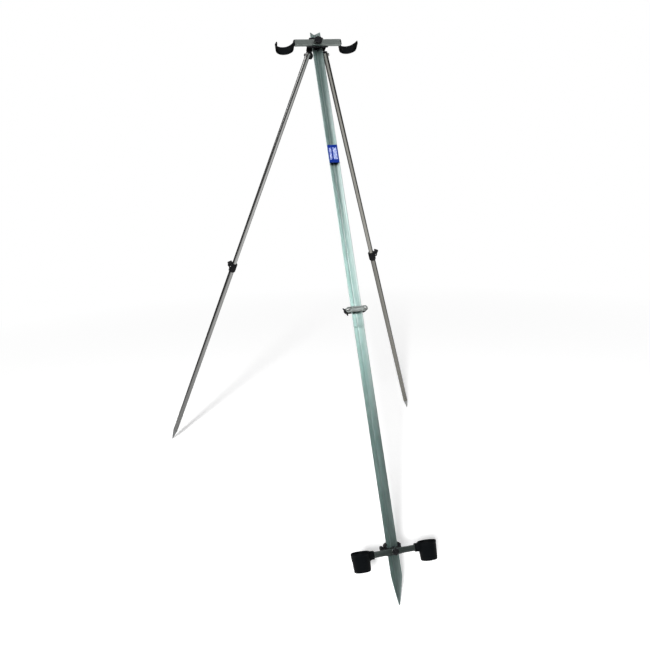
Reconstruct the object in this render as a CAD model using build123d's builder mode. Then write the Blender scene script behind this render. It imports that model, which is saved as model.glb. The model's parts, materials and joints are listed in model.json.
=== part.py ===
"""Two-rod beach casting tripod: a stand that holds two surf rods upright on sand.

The main leg is two nested aluminium troughs, one sliding behind the other, and leans back to a
moulded head.  Two round telescopic side legs hinge from the head and splay out behind it.  The
upper crossbar carries two U cups for the rod shafts.  The lower crossbar, on a bracket that slides
along the main leg, carries two cups for the rod butts.

Frame: millimetres, +Z up, +X to the right of somebody who faces the open side of the trough, and
-Y towards them.  The origin is on the ground, straight below the top of the main leg.
"""

import os
from math import hypot, sqrt

from build123d import *

os.makedirs("parts", exist_ok=True)

# Stance
HEAD_HEIGHT = 1700.0
MAIN_FOOT_REACH = 777.0
SIDE_FOOT_SPREAD = 590.0
SIDE_FOOT_REACH = 759.3

# Main leg: trough section, and places along the leg counted down from its top end
TROUGH_HALF_WIDTH = 17.7
TROUGH_WALL = 1.8
TROUGH_RIDGE_RADIUS = 6.0
NEST_GAP = 0.35
UPPER_LEG_LENGTH = 1012.0
LEG_OVERLAP = 150.0
SPIKE_LENGTH = 88.0
SPIKE_TIP_HALF_WIDTH = 1.6
BAR_ALONG = 44.6
BADGE_ALONG = 435.0
CLAMP_ALONG = 957.0
LOWER_BAR_ALONG = 1701.0

# Head bracket and its bolt
HEAD_TOP_ALONG = 20.0
HEAD_BOTTOM_ALONG = 55.0
HEAD_TOP_HALF_WIDTH = 23.5
HEAD_BOTTOM_HALF_WIDTH = 34.0
HEAD_BACK = -26.0
HEAD_FRONT = 3.0
HEAD_PLATE_WIDTH = 75.0
HEAD_PLATE_HEIGHT = 24.0
HEAD_PLATE_DEPTH = 2.0
HEAD_PLATE_DROP = 1.0
HEAD_BOLT_RADIUS = 4.0

# Side-leg hinge
HINGE_SPREAD = 31.0
HINGE_ALONG = 71.0
HINGE_FRONT = -22.0
HINGE_PIN_RADIUS = 3.0
EAR_RADIUS = 10.5
EAR_WEB_DEPTH = 18.0
EAR_WEB_BACK = 1.5
EAR_INNER = -14.5
EAR_OUTER = -9.3

# Crossbars: height is along the leg, depth is towards the front
UPPER_BAR_HALF_LENGTH = 78.5
UPPER_BAR_HEIGHT = 20.0
UPPER_BAR_DEPTH = 12.0
LOWER_BAR_HALF_LENGTH = 64.0
LOWER_BAR_HEIGHT = 17.0
LOWER_BAR_DEPTH = 10.0
BAR_WALL = 1.5

# Rod cups (U) on the upper crossbar
ROD_CUP_SPACING = 109.5
ROD_CUP_RADIUS = 31.0
ROD_CUP_WALL = 4.0
ROD_CUP_BOTTOM = -39.0
ROD_CUP_TIP = 15.0
ROD_CUP_BAND = 28.0
ROD_CUP_TIP_BAND = 9.0

# Butt cups on the lower crossbar
BUTT_CUP_SPACING = 104.3
BUTT_CUP_RIM_RADIUS = 28.5
BUTT_CUP_BASE_RADIUS = 25.0
BUTT_CUP_BORE_RADIUS = 21.5
BUTT_CUP_ABOVE_BAR = 14.0
BUTT_CUP_BELOW_BAR = 42.0
BUTT_CUP_FLOOR = 4.0
BUTT_CUP_BORE_LENGTH = 32.0

# Side legs: distances are counted down each leg from its hinge
SIDE_UPPER_RADIUS = 8.5
SIDE_LOWER_RADIUS = 10.0
SIDE_TUBE_WALL = 1.2
TUBE_ABOVE_HINGE = 10.0
CAP_FLANGE = 1.2
CAP_PLUG_LENGTH = 26.0
COLLAR_TOP = 863.0
COLLAR_LENGTH = 36.0
COLLAR_RADIUS = 13.8
SIDE_OVERLAP = 118.0
FOOT_SPIKE_LENGTH = 58.0
SPIKE_TIP_RADIUS = 1.2
LEVER_PIN_OUT = 17.0
LEVER_PIN_DOWN = 9.0

# Clamp on the main leg
CLAMP_HALF_SPACING = 28.5
CLAMP_PLATE_LENGTH = 73.0
CLAMP_PLATE_HEIGHT = 18.0
CLAMP_PLATE_DEPTH = 3.0
CLAMP_BOLT_RADIUS = 3.0

# Sliding bracket on the lower leg
SLIDER_TOP_ALONG = 1677.0
SLIDER_TOP_SLOPE = 6.0
SLIDER_BOTTOM_ALONG = 1712.0
SLIDER_HALF_WIDTH = 25.0
SLIDER_BACK = -27.0
SLIDER_FRONT = 7.0
SLIDER_SCREW_ALONG = 1690.0
SLIDER_SCREW_FRONT = -9.0
SLIDER_SCREW_RADIUS = 3.0
LOWER_BOLT_RADIUS = 3.0

# Fits
RUNNING_FIT = 0.05
FACE_GAP = 0.1
SLIDE_GAP = 0.4

# Worked out from the above
LEG_TOP = Vector(0, 0, HEAD_HEIGHT)
SIDEWAYS = Vector(1, 0, 0)
DOWN = Vector(0, -MAIN_FOOT_REACH, -HEAD_HEIGHT).normalized()
FRONT = DOWN.cross(SIDEWAYS)
DIAGONAL = sqrt(0.5)
LIP_FRONT = TROUGH_WALL / 2 * DIAGONAL
LIP_MIDLINE = TROUGH_HALF_WIDTH - LIP_FRONT
RIDGE_MIDLINE_RADIUS = TROUGH_RIDGE_RADIUS - TROUGH_WALL / 2
RIDGE_BACK = -LIP_MIDLINE + RIDGE_MIDLINE_RADIUS * (sqrt(2) - 1) - TROUGH_WALL / 2
NEST_SHIFT = -(TROUGH_WALL + NEST_GAP) / DIAGONAL
LOWER_LEG_TOP = UPPER_LEG_LENGTH - LEG_OVERLAP
LOWER_LEG_END = -(HEAD_HEIGHT + FRONT.Z * (NEST_SHIFT + RIDGE_BACK)) / DOWN.Z
HEAD_PLATE_FACE = HEAD_FRONT + HEAD_PLATE_DEPTH
UPPER_BAR_FRONT = HEAD_PLATE_FACE + FACE_GAP + UPPER_BAR_DEPTH / 2
LOWER_BAR_FRONT = SLIDER_FRONT + FACE_GAP + LOWER_BAR_DEPTH / 2


def leg_point(along, front=0.0, side=0.0):
    """Point on the main leg: down it from the top, forward of its lips, and to the right."""
    return LEG_TOP + DOWN * along + FRONT * front + SIDEWAYS * side


def section_plane(along, front=0.0, side=0.0):
    """Plane across the main leg: x to the right, y to the front, normal down the leg."""
    return Plane(origin=leg_point(along, front, side), x_dir=SIDEWAYS, z_dir=DOWN)


def face_plane(front, along=0.0, side=0.0):
    """Plane facing forward from the main leg: x to the right, y up the leg."""
    return Plane(origin=leg_point(along, front, side), x_dir=SIDEWAYS, z_dir=FRONT)


def end_plane(side, along=0.0, front=0.0):
    """Plane with its normal to the right: x down the leg, y to the back."""
    return Plane(origin=leg_point(along, front, side), x_dir=DOWN, z_dir=SIDEWAYS)


class SideLeg:
    """Frame of one side leg: its hinge, its direction, and the outward hinge axis."""

    def __init__(self, name, side):
        self.name = name
        self.side = side
        self.hinge = leg_point(HINGE_ALONG, HINGE_FRONT, side * HINGE_SPREAD)
        ground_point = Vector(side * SIDE_FOOT_SPREAD, SIDE_FOOT_REACH, 0)
        lean = (ground_point - self.hinge).normalized()
        foot = ground_point + Vector(0, 0, SPIKE_TIP_RADIUS * hypot(lean.X, lean.Y))
        self.length = (foot - self.hinge).length
        self.down = (foot - self.hinge).normalized()
        fold_axis = self.down.cross(DOWN).normalized()
        self.outward = fold_axis if fold_axis.X * side > 0 else -fold_axis

    def section(self, along, outward=0.0):
        """Plane across the tube: x outward, normal down the tube."""
        origin = self.hinge + self.down * along + self.outward * outward
        return Plane(origin=origin, x_dir=self.outward, z_dir=self.down)

    def flank(self, outward, along=0.0):
        """Plane with its normal outward: x down the tube."""
        origin = self.hinge + self.down * along + self.outward * outward
        return Plane(origin=origin, x_dir=self.down, z_dir=self.outward)

    def ear(self, outward):
        """Plane with its normal outward: x down the main leg."""
        return Plane(origin=self.hinge + self.outward * outward, x_dir=DOWN, z_dir=self.outward)


SIDE_LEGS = (SideLeg("left", -1), SideLeg("right", 1))


def save(builder, name):
    """Label a finished piece and write it to its own file."""
    builder.part.label = name
    export_step(builder.part, f"parts/{name}.step")


def trough_line(front):
    """Middle line of the trough's wall, with its lips level with front."""
    lips = LIP_MIDLINE
    return FilletPolyline((-lips, front), (0, front - lips), (lips, front), radius=RIDGE_MIDLINE_RADIUS)


def trough_filled(front, gap):
    """Solid outline of the trough, grown by gap, in the section plane's own coordinates."""
    reach = TROUGH_HALF_WIDTH + LIP_FRONT + gap / DIAGONAL
    back = front - reach
    lips = front + LIP_FRONT + gap
    return Polygon((-reach, front), (-reach, lips), (reach, lips), (reach, front), (0, back), align=None)


def hexagon(across_flats):
    """Outline of a hexagon bolt head or nut."""
    return RegularPolygon(radius=across_flats / 2, side_count=6, major_radius=False)


def fluted_knob(plane, radius, height, flutes, bore_radius, bore_depth):
    """Hand knob with scalloped grips, standing on plane, with a blind bore from its foot."""
    hub_radius = radius * 0.62
    hub_height = height * 0.28
    with BuildPart() as knob:
        with BuildSketch(plane):
            Circle(hub_radius)
        extrude(amount=hub_height)
        with BuildSketch(plane.offset(hub_height)):
            Circle(radius)
            with PolarLocations(radius * 1.12, flutes):
                Circle(radius * 0.24, mode=Mode.SUBTRACT)
        extrude(amount=height - hub_height)
        fillet(knob.faces().sort_by(Axis(plane.origin, plane.z_dir))[-1].edges(), radius=1.2)
        with BuildSketch(plane):
            Circle(bore_radius)
        extrude(amount=bore_depth, mode=Mode.SUBTRACT)
    return knob


# ---------------------------------------------------------------- main leg

with BuildPart() as main_leg_upper:
    with BuildSketch(section_plane(0)):
        with BuildLine() as upper_line:
            trough_line(0)
        trace(upper_line.line, line_width=TROUGH_WALL)
    extrude(amount=UPPER_LEG_LENGTH)
    with BuildSketch(face_plane(HEAD_BACK, BAR_ALONG)):
        Circle(HEAD_BOLT_RADIUS + FACE_GAP)
    extrude(amount=HEAD_FRONT - HEAD_BACK, mode=Mode.SUBTRACT)
save(main_leg_upper, "main_leg_upper")

with BuildPart() as main_leg_lower:
    with BuildSketch(section_plane(LOWER_LEG_TOP)):
        with BuildLine() as lower_line:
            trough_line(NEST_SHIFT)
        trace(lower_line.line, line_width=TROUGH_WALL)
    extrude(amount=LOWER_LEG_END - LOWER_LEG_TOP)
    # Both lips curve in to a point that pushes into the sand
    shoulder = LOWER_LEG_END - SPIKE_LENGTH
    belly = (TROUGH_HALF_WIDTH * 0.62, -(shoulder + SPIKE_LENGTH * 0.46))
    outside = TROUGH_HALF_WIDTH + 4
    with BuildSketch(face_plane(0)):
        with BuildLine():
            ThreePointArc((TROUGH_HALF_WIDTH, -shoulder), belly, (SPIKE_TIP_HALF_WIDTH, -LOWER_LEG_END))
            Polyline(
                (SPIKE_TIP_HALF_WIDTH, -LOWER_LEG_END),
                (SPIKE_TIP_HALF_WIDTH, -LOWER_LEG_END - 4),
                (outside, -LOWER_LEG_END - 4),
                (outside, -shoulder),
                (TROUGH_HALF_WIDTH, -shoulder),
            )
        make_face()
        mirror(about=Plane.YZ)
    extrude(amount=2 * TROUGH_HALF_WIDTH, both=True, mode=Mode.SUBTRACT)
save(main_leg_lower, "main_leg_lower")

BADGE_WIDTH = 33.5
BADGE_HEIGHT = 62.0
BADGE_DEPTH = 0.8

with BuildPart() as badge:
    with BuildSketch(face_plane(LIP_FRONT, BADGE_ALONG)):
        RectangleRounded(BADGE_WIDTH, BADGE_HEIGHT, radius=1.5)
    extrude(amount=BADGE_DEPTH)
save(badge, "badge")

# ---------------------------------------------------------------- head

with BuildPart() as head_bracket:
    with BuildSketch(face_plane(HEAD_BACK)):
        with BuildLine():
            Polyline(
                (-HEAD_TOP_HALF_WIDTH, -HEAD_TOP_ALONG),
                (HEAD_TOP_HALF_WIDTH, -HEAD_TOP_ALONG),
                (HEAD_BOTTOM_HALF_WIDTH, -HEAD_BOTTOM_ALONG),
                (-HEAD_BOTTOM_HALF_WIDTH, -HEAD_BOTTOM_ALONG),
                close=True,
            )
        make_face()
    extrude(amount=HEAD_FRONT - HEAD_BACK)
    corner_edges = head_bracket.edges().filter_by(lambda edge: abs(edge.tangent_at(0.5).dot(FRONT)) > 0.99)
    fillet(corner_edges, radius=4.0)
    fillet(head_bracket.faces().sort_by(Axis(LEG_TOP, FRONT))[-1].edges(), radius=1.0)
    for leg in SIDE_LEGS:
        with BuildSketch(leg.ear(EAR_INNER)):
            Circle(EAR_RADIUS)
            with Locations((-EAR_RADIUS - 3, leg.side * EAR_WEB_BACK)):
                Rectangle(2 * EAR_RADIUS + 6, EAR_WEB_DEPTH)
        extrude(amount=EAR_OUTER - EAR_INNER)
        with BuildSketch(leg.ear(EAR_INNER - 1)):
            Circle(HINGE_PIN_RADIUS)
        extrude(amount=EAR_OUTER - EAR_INNER + 2, mode=Mode.SUBTRACT)
    with BuildSketch(section_plane(0)):
        with BuildLine() as slot_line:
            trough_line(0)
        trace(slot_line.line, line_width=TROUGH_WALL + 2 * FACE_GAP)
    extrude(amount=HINGE_ALONG + 2 * EAR_RADIUS, mode=Mode.SUBTRACT)
    with BuildSketch(face_plane(HEAD_BACK, BAR_ALONG)):
        Circle(HEAD_BOLT_RADIUS)
    extrude(amount=HEAD_FRONT - HEAD_BACK, mode=Mode.SUBTRACT)
save(head_bracket, "head_bracket")

with BuildPart() as head_plate:
    with BuildSketch(face_plane(HEAD_FRONT, BAR_ALONG + HEAD_PLATE_DROP)):
        RectangleRounded(HEAD_PLATE_WIDTH, HEAD_PLATE_HEIGHT, radius=4.0)
    extrude(amount=HEAD_PLATE_DEPTH)
    with BuildSketch(face_plane(HEAD_FRONT, BAR_ALONG)):
        Circle(HEAD_BOLT_RADIUS)
    extrude(amount=HEAD_PLATE_DEPTH, mode=Mode.SUBTRACT)
save(head_plate, "head_plate")

UPPER_KNOB_RADIUS = 13.5
UPPER_KNOB_HEIGHT = 15.0
LOWER_KNOB_RADIUS = 10.5
LOWER_KNOB_HEIGHT = 14.0
KNOB_INSERT_RADIUS = 6.0
KNOB_INSERT_LENGTH = 10.0
CROSSBAR_KNOB_FLUTES = 8
WASHER_RADIUS = 9.0
WASHER_DEPTH = 1.2
UPPER_BAR_FACE = HEAD_PLATE_FACE + FACE_GAP + UPPER_BAR_DEPTH
UPPER_KNOB_FOOT = UPPER_BAR_FACE + WASHER_DEPTH + FACE_GAP
LOWER_BAR_FACE = SLIDER_FRONT + FACE_GAP + LOWER_BAR_DEPTH
LOWER_KNOB_FOOT = LOWER_BAR_FACE + WASHER_DEPTH + FACE_GAP
BOLT_END_IN_KNOB = 9.0


def bolt(head_plane, head_flats, head_height, shank_radius, shank_length):
    """Hexagon bolt whose head stands on the far side of head_plane from its shank."""
    with BuildPart() as hex_bolt:
        with BuildSketch(head_plane):
            hexagon(head_flats)
        extrude(amount=-head_height)
        with BuildSketch(head_plane):
            Circle(shank_radius)
        extrude(amount=shank_length)
    return hex_bolt


head_bolt_reach = UPPER_KNOB_FOOT + BOLT_END_IN_KNOB - HEAD_BACK
head_bolt = bolt(face_plane(HEAD_BACK, BAR_ALONG), 13.0, 5.3, HEAD_BOLT_RADIUS, head_bolt_reach)
save(head_bolt, "head_bolt")


def washer(plane, bore_radius):
    """Flat washer standing on plane."""
    with BuildPart() as flat_washer:
        with BuildSketch(plane):
            Circle(WASHER_RADIUS)
            Circle(bore_radius, mode=Mode.SUBTRACT)
        extrude(amount=WASHER_DEPTH)
    return flat_washer


def knob_insert(plane, bore_radius):
    """Brass thread insert moulded into a knob's foot."""
    with BuildPart() as insert:
        with BuildSketch(plane):
            Circle(KNOB_INSERT_RADIUS)
            Circle(bore_radius, mode=Mode.SUBTRACT)
        extrude(amount=KNOB_INSERT_LENGTH)
    return insert


upper_washer_plane = face_plane(UPPER_BAR_FACE, BAR_ALONG)
upper_knob_plane = face_plane(UPPER_KNOB_FOOT, BAR_ALONG)
save(washer(upper_washer_plane, HEAD_BOLT_RADIUS + RUNNING_FIT), "upper_washer")
upper_knob = fluted_knob(
    upper_knob_plane,
    UPPER_KNOB_RADIUS,
    UPPER_KNOB_HEIGHT,
    CROSSBAR_KNOB_FLUTES,
    KNOB_INSERT_RADIUS,
    KNOB_INSERT_LENGTH,
)
save(upper_knob, "upper_knob")
save(knob_insert(upper_knob_plane, HEAD_BOLT_RADIUS + RUNNING_FIT), "upper_knob_insert")

# ---------------------------------------------------------------- side-leg hinges

HINGE_HEAD_OUT = SIDE_UPPER_RADIUS + FACE_GAP
HINGE_HEAD_HEIGHT = 4.0
HINGE_NUT_HEIGHT = 5.0
HINGE_FLATS = 10.0
HINGE_WASHER_RADIUS = 7.0
HINGE_WASHER_DEPTH = -EAR_OUTER - SIDE_UPPER_RADIUS - FACE_GAP

with BuildPart() as leg_hinge_bolts:
    for leg in SIDE_LEGS:
        with BuildSketch(leg.ear(HINGE_HEAD_OUT)):
            hexagon(HINGE_FLATS)
        extrude(amount=HINGE_HEAD_HEIGHT)
        with BuildSketch(leg.ear(HINGE_HEAD_OUT)):
            Circle(HINGE_PIN_RADIUS)
        extrude(amount=EAR_INNER - HINGE_NUT_HEIGHT - 1 - HINGE_HEAD_OUT)
save(leg_hinge_bolts, "leg_hinge_bolts")

with BuildPart() as leg_hinge_nuts:
    for leg in SIDE_LEGS:
        with BuildSketch(leg.ear(EAR_INNER)):
            hexagon(HINGE_FLATS)
            Circle(HINGE_PIN_RADIUS, mode=Mode.SUBTRACT)
        extrude(amount=-HINGE_NUT_HEIGHT)
save(leg_hinge_nuts, "leg_hinge_nuts")

with BuildPart() as leg_hinge_washers:
    for leg in SIDE_LEGS:
        with BuildSketch(leg.ear(EAR_OUTER)):
            Circle(HINGE_WASHER_RADIUS)
            Circle(HINGE_PIN_RADIUS, mode=Mode.SUBTRACT)
        extrude(amount=HINGE_WASHER_DEPTH)
save(leg_hinge_washers, "leg_hinge_washers")

# ---------------------------------------------------------------- upper crossbar and rod cups


def crossbar(along, middle_front, half_length, height, depth, bolt_radius):
    """Rectangular tube with a bolt hole in the middle and a screw hole near each end."""
    with BuildPart() as tube:
        with BuildSketch(end_plane(0, along, middle_front)):
            RectangleRounded(height, depth, radius=1.2)
            Rectangle(height - 2 * BAR_WALL, depth - 2 * BAR_WALL, mode=Mode.SUBTRACT)
        extrude(amount=half_length, both=True)
        back_plane = face_plane(middle_front - depth / 2, along)
        with BuildSketch(back_plane):
            Circle(bolt_radius)
        extrude(amount=depth, mode=Mode.SUBTRACT)
        screw_side = half_length - CUP_SCREW_INSET
        with BuildSketch(back_plane):
            with Locations((-screw_side, 0), (screw_side, 0)):
                Circle(CUP_SCREW_RADIUS)
        extrude(amount=BAR_WALL, mode=Mode.SUBTRACT)
    return tube


CUP_PLUG_LENGTH = 16.0
CUP_SCREW_RADIUS = 1.5
CUP_SCREW_LENGTH = 8.0
CUP_SCREW_INSET = 8.0

upper_crossbar = crossbar(
    BAR_ALONG,
    UPPER_BAR_FRONT,
    UPPER_BAR_HALF_LENGTH,
    UPPER_BAR_HEIGHT,
    UPPER_BAR_DEPTH,
    HEAD_BOLT_RADIUS + RUNNING_FIT,
)
save(upper_crossbar, "upper_crossbar")

for name, side in (("left", -1), ("right", 1)):
    centre = side * ROD_CUP_SPACING
    middle_radius = ROD_CUP_RADIUS - ROD_CUP_WALL / 2
    arm_top = ROD_CUP_TIP
    arc_centre = ROD_CUP_BOTTOM + ROD_CUP_RADIUS
    with BuildPart() as rod_cup:
        # U-shaped strap, its open side to the front
        with BuildSketch(section_plane(BAR_ALONG - ROD_CUP_BAND / 2, 0, centre)):
            with BuildLine() as strap_line:
                Line((-middle_radius, arm_top), (-middle_radius, arc_centre))
                ThreePointArc(
                    (-middle_radius, arc_centre),
                    (0, ROD_CUP_BOTTOM + ROD_CUP_WALL / 2),
                    (middle_radius, arc_centre),
                )
                Line((middle_radius, arc_centre), (middle_radius, arm_top))
            trace(strap_line.line, line_width=ROD_CUP_WALL)
        extrude(amount=ROD_CUP_BAND)
        # The strap is wide round the bottom and narrows to its two tips
        with BuildSketch(end_plane(centre, BAR_ALONG)):
            with BuildLine():
                Polyline(
                    (-ROD_CUP_TIP_BAND / 2, -ROD_CUP_TIP),
                    (-ROD_CUP_BAND / 2, -(arc_centre - 6)),
                    (-ROD_CUP_BAND / 2, -(ROD_CUP_BOTTOM - 1)),
                    (ROD_CUP_BAND / 2, -(ROD_CUP_BOTTOM - 1)),
                    (ROD_CUP_BAND / 2, -(arc_centre - 6)),
                    (ROD_CUP_TIP_BAND / 2, -ROD_CUP_TIP),
                    close=True,
                )
            make_face()
        extrude(amount=ROD_CUP_RADIUS + 2, both=True, mode=Mode.INTERSECT)
        # Plug that pushes into the open end of the crossbar
        plug_height = UPPER_BAR_HEIGHT - 2 * BAR_WALL - 2 * FACE_GAP
        plug_depth = UPPER_BAR_DEPTH - 2 * BAR_WALL - 2 * FACE_GAP
        strap_wall_middle = centre - side * (middle_radius - 0.5)
        with BuildSketch(end_plane(strap_wall_middle, BAR_ALONG, UPPER_BAR_FRONT)):
            Rectangle(plug_height, plug_depth)
        plug_reach = abs(strap_wall_middle) - UPPER_BAR_HALF_LENGTH + CUP_PLUG_LENGTH
        extrude(amount=-side * plug_reach)
        screw_across = side * (UPPER_BAR_HALF_LENGTH - CUP_SCREW_INSET)
        with BuildSketch(face_plane(HEAD_PLATE_FACE, BAR_ALONG, screw_across)):
            Circle(CUP_SCREW_RADIUS)
        extrude(amount=CUP_SCREW_LENGTH + FACE_GAP, mode=Mode.SUBTRACT)
    save(rod_cup, f"rod_cup_{name}")


def cup_screws(half_length, back, along):
    """Two countersunk-style screws through the back of a crossbar into its cup plugs."""
    with BuildPart() as screws:
        for side in (-1, 1):
            with BuildSketch(face_plane(back, along, side * (half_length - CUP_SCREW_INSET))):
                Circle(CUP_SCREW_RADIUS)
            extrude(amount=CUP_SCREW_LENGTH)
    return screws


save(cup_screws(UPPER_BAR_HALF_LENGTH, HEAD_PLATE_FACE + FACE_GAP, BAR_ALONG), "rod_cup_screws")

# ---------------------------------------------------------------- clamp on the main leg

CLAMP_FRONT_BACK_FACE = LIP_FRONT
SADDLE_FRONT = -15.0
SADDLE_BACK = NEST_SHIFT + RIDGE_BACK - 6.0
WING_NUT_RADIUS = 6.5
WING_NUT_HEIGHT = 6.0
CLAMP_BOLT_TAIL = 3.0
WING_SPAN = 15.0
WING_HEIGHT = 11.0
WING_DEPTH = 4.0
WING_ANGLE = 62.0
CLAMP_BOLT_HEAD_RADIUS = 5.5
CLAMP_BOLT_HEAD_HEIGHT = 3.4

with BuildPart() as clamp_front_plate:
    with BuildSketch(face_plane(CLAMP_FRONT_BACK_FACE, CLAMP_ALONG)):
        SlotOverall(CLAMP_PLATE_LENGTH, CLAMP_PLATE_HEIGHT)
        with Locations((-CLAMP_HALF_SPACING, 0), (CLAMP_HALF_SPACING, 0)):
            Circle(CLAMP_BOLT_RADIUS, mode=Mode.SUBTRACT)
    extrude(amount=CLAMP_PLATE_DEPTH)
    fillet(clamp_front_plate.faces().sort_by(Axis(LEG_TOP, FRONT))[-1].outer_wire().edges(), radius=0.8)
save(clamp_front_plate, "clamp_front_plate")

with BuildPart() as clamp_back_saddle:
    with BuildSketch(face_plane(SADDLE_BACK, CLAMP_ALONG)):
        SlotOverall(CLAMP_PLATE_LENGTH, CLAMP_PLATE_HEIGHT)
    extrude(amount=SADDLE_FRONT - SADDLE_BACK)
    with BuildSketch(section_plane(CLAMP_ALONG - CLAMP_PLATE_HEIGHT)):
        trough_filled(NEST_SHIFT, NEST_GAP)
    extrude(amount=2 * CLAMP_PLATE_HEIGHT, mode=Mode.SUBTRACT)
    with BuildSketch(face_plane(SADDLE_BACK, CLAMP_ALONG)):
        with Locations((-CLAMP_HALF_SPACING, 0), (CLAMP_HALF_SPACING, 0)):
            Circle(CLAMP_BOLT_RADIUS)
    extrude(amount=SADDLE_FRONT - SADDLE_BACK, mode=Mode.SUBTRACT)
save(clamp_back_saddle, "clamp_back_saddle")

with BuildPart() as clamp_bolts:
    head_face = CLAMP_FRONT_BACK_FACE + CLAMP_PLATE_DEPTH
    for side in (-1, 1):
        with BuildSketch(face_plane(head_face, CLAMP_ALONG, side * CLAMP_HALF_SPACING)):
            Circle(CLAMP_BOLT_HEAD_RADIUS)
        extrude(amount=CLAMP_BOLT_HEAD_HEIGHT)
        with BuildSketch(face_plane(head_face, CLAMP_ALONG, side * CLAMP_HALF_SPACING)):
            Circle(CLAMP_BOLT_RADIUS)
        extrude(amount=SADDLE_BACK - WING_NUT_HEIGHT - CLAMP_BOLT_TAIL - head_face)
    head_faces = clamp_bolts.faces().filter_by(GeomType.PLANE).sort_by(Axis(LEG_TOP, FRONT))[-2:]
    fillet(head_faces.edges(), radius=1.4)
save(clamp_bolts, "clamp_bolts")

for name, side in (("left", -1), ("right", 1)):
    nut_plane = face_plane(SADDLE_BACK - FACE_GAP, CLAMP_ALONG, side * CLAMP_HALF_SPACING)
    with BuildPart() as wing_nut:
        with BuildSketch(nut_plane):
            Circle(WING_NUT_RADIUS)
        extrude(amount=-WING_NUT_HEIGHT)
        for turn in (WING_ANGLE, WING_ANGLE + 180):
            outward_tip = Vector(WING_SPAN, 0).rotate(Axis.Z, side * turn)
            root = Vector(WING_NUT_RADIUS - 2, 0).rotate(Axis.Z, side * turn)
            with BuildSketch(nut_plane.offset(-1.5)):
                with BuildLine() as wing_line:
                    Line((root.X, root.Y), (outward_tip.X, outward_tip.Y))
                trace(wing_line.line, line_width=WING_DEPTH)
            extrude(amount=-WING_HEIGHT)
        with BuildSketch(nut_plane):
            Circle(CLAMP_BOLT_RADIUS + RUNNING_FIT)
        extrude(amount=-WING_NUT_HEIGHT - WING_HEIGHT, mode=Mode.SUBTRACT)
    save(wing_nut, f"clamp_wing_nut_{name}")

# ---------------------------------------------------------------- side legs

BUSH_LENGTH = 22.0
BUSH_STEM_LENGTH = 14.0
UPPER_TUBE_END = COLLAR_TOP + SIDE_OVERLAP
LOWER_TUBE_TOP = COLLAR_TOP + 6.0
LEVER_WIDTH = 8.0
LEVER_CHEEK = 3.4
LEVER_PIN_RADIUS = 2.0
LEVER_RISE = 22.0
LEVER_TIP_OUT = 13.0
LEVER_CAM_RADIUS = 6.0
SHANK_LENGTH = 24.0


def side_tube(leg, top, end, radius, bolt_radius=None):
    """Round tube of one side leg, drilled across at the hinge if it takes the hinge bolt."""
    with BuildPart() as tube:
        with BuildSketch(leg.section(top)):
            Circle(radius)
            Circle(radius - SIDE_TUBE_WALL, mode=Mode.SUBTRACT)
        extrude(amount=end - top)
        if bolt_radius:
            with BuildSketch(leg.flank(0)):
                Circle(bolt_radius)
            extrude(amount=radius + 1, both=True, mode=Mode.SUBTRACT)
    return tube


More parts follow.
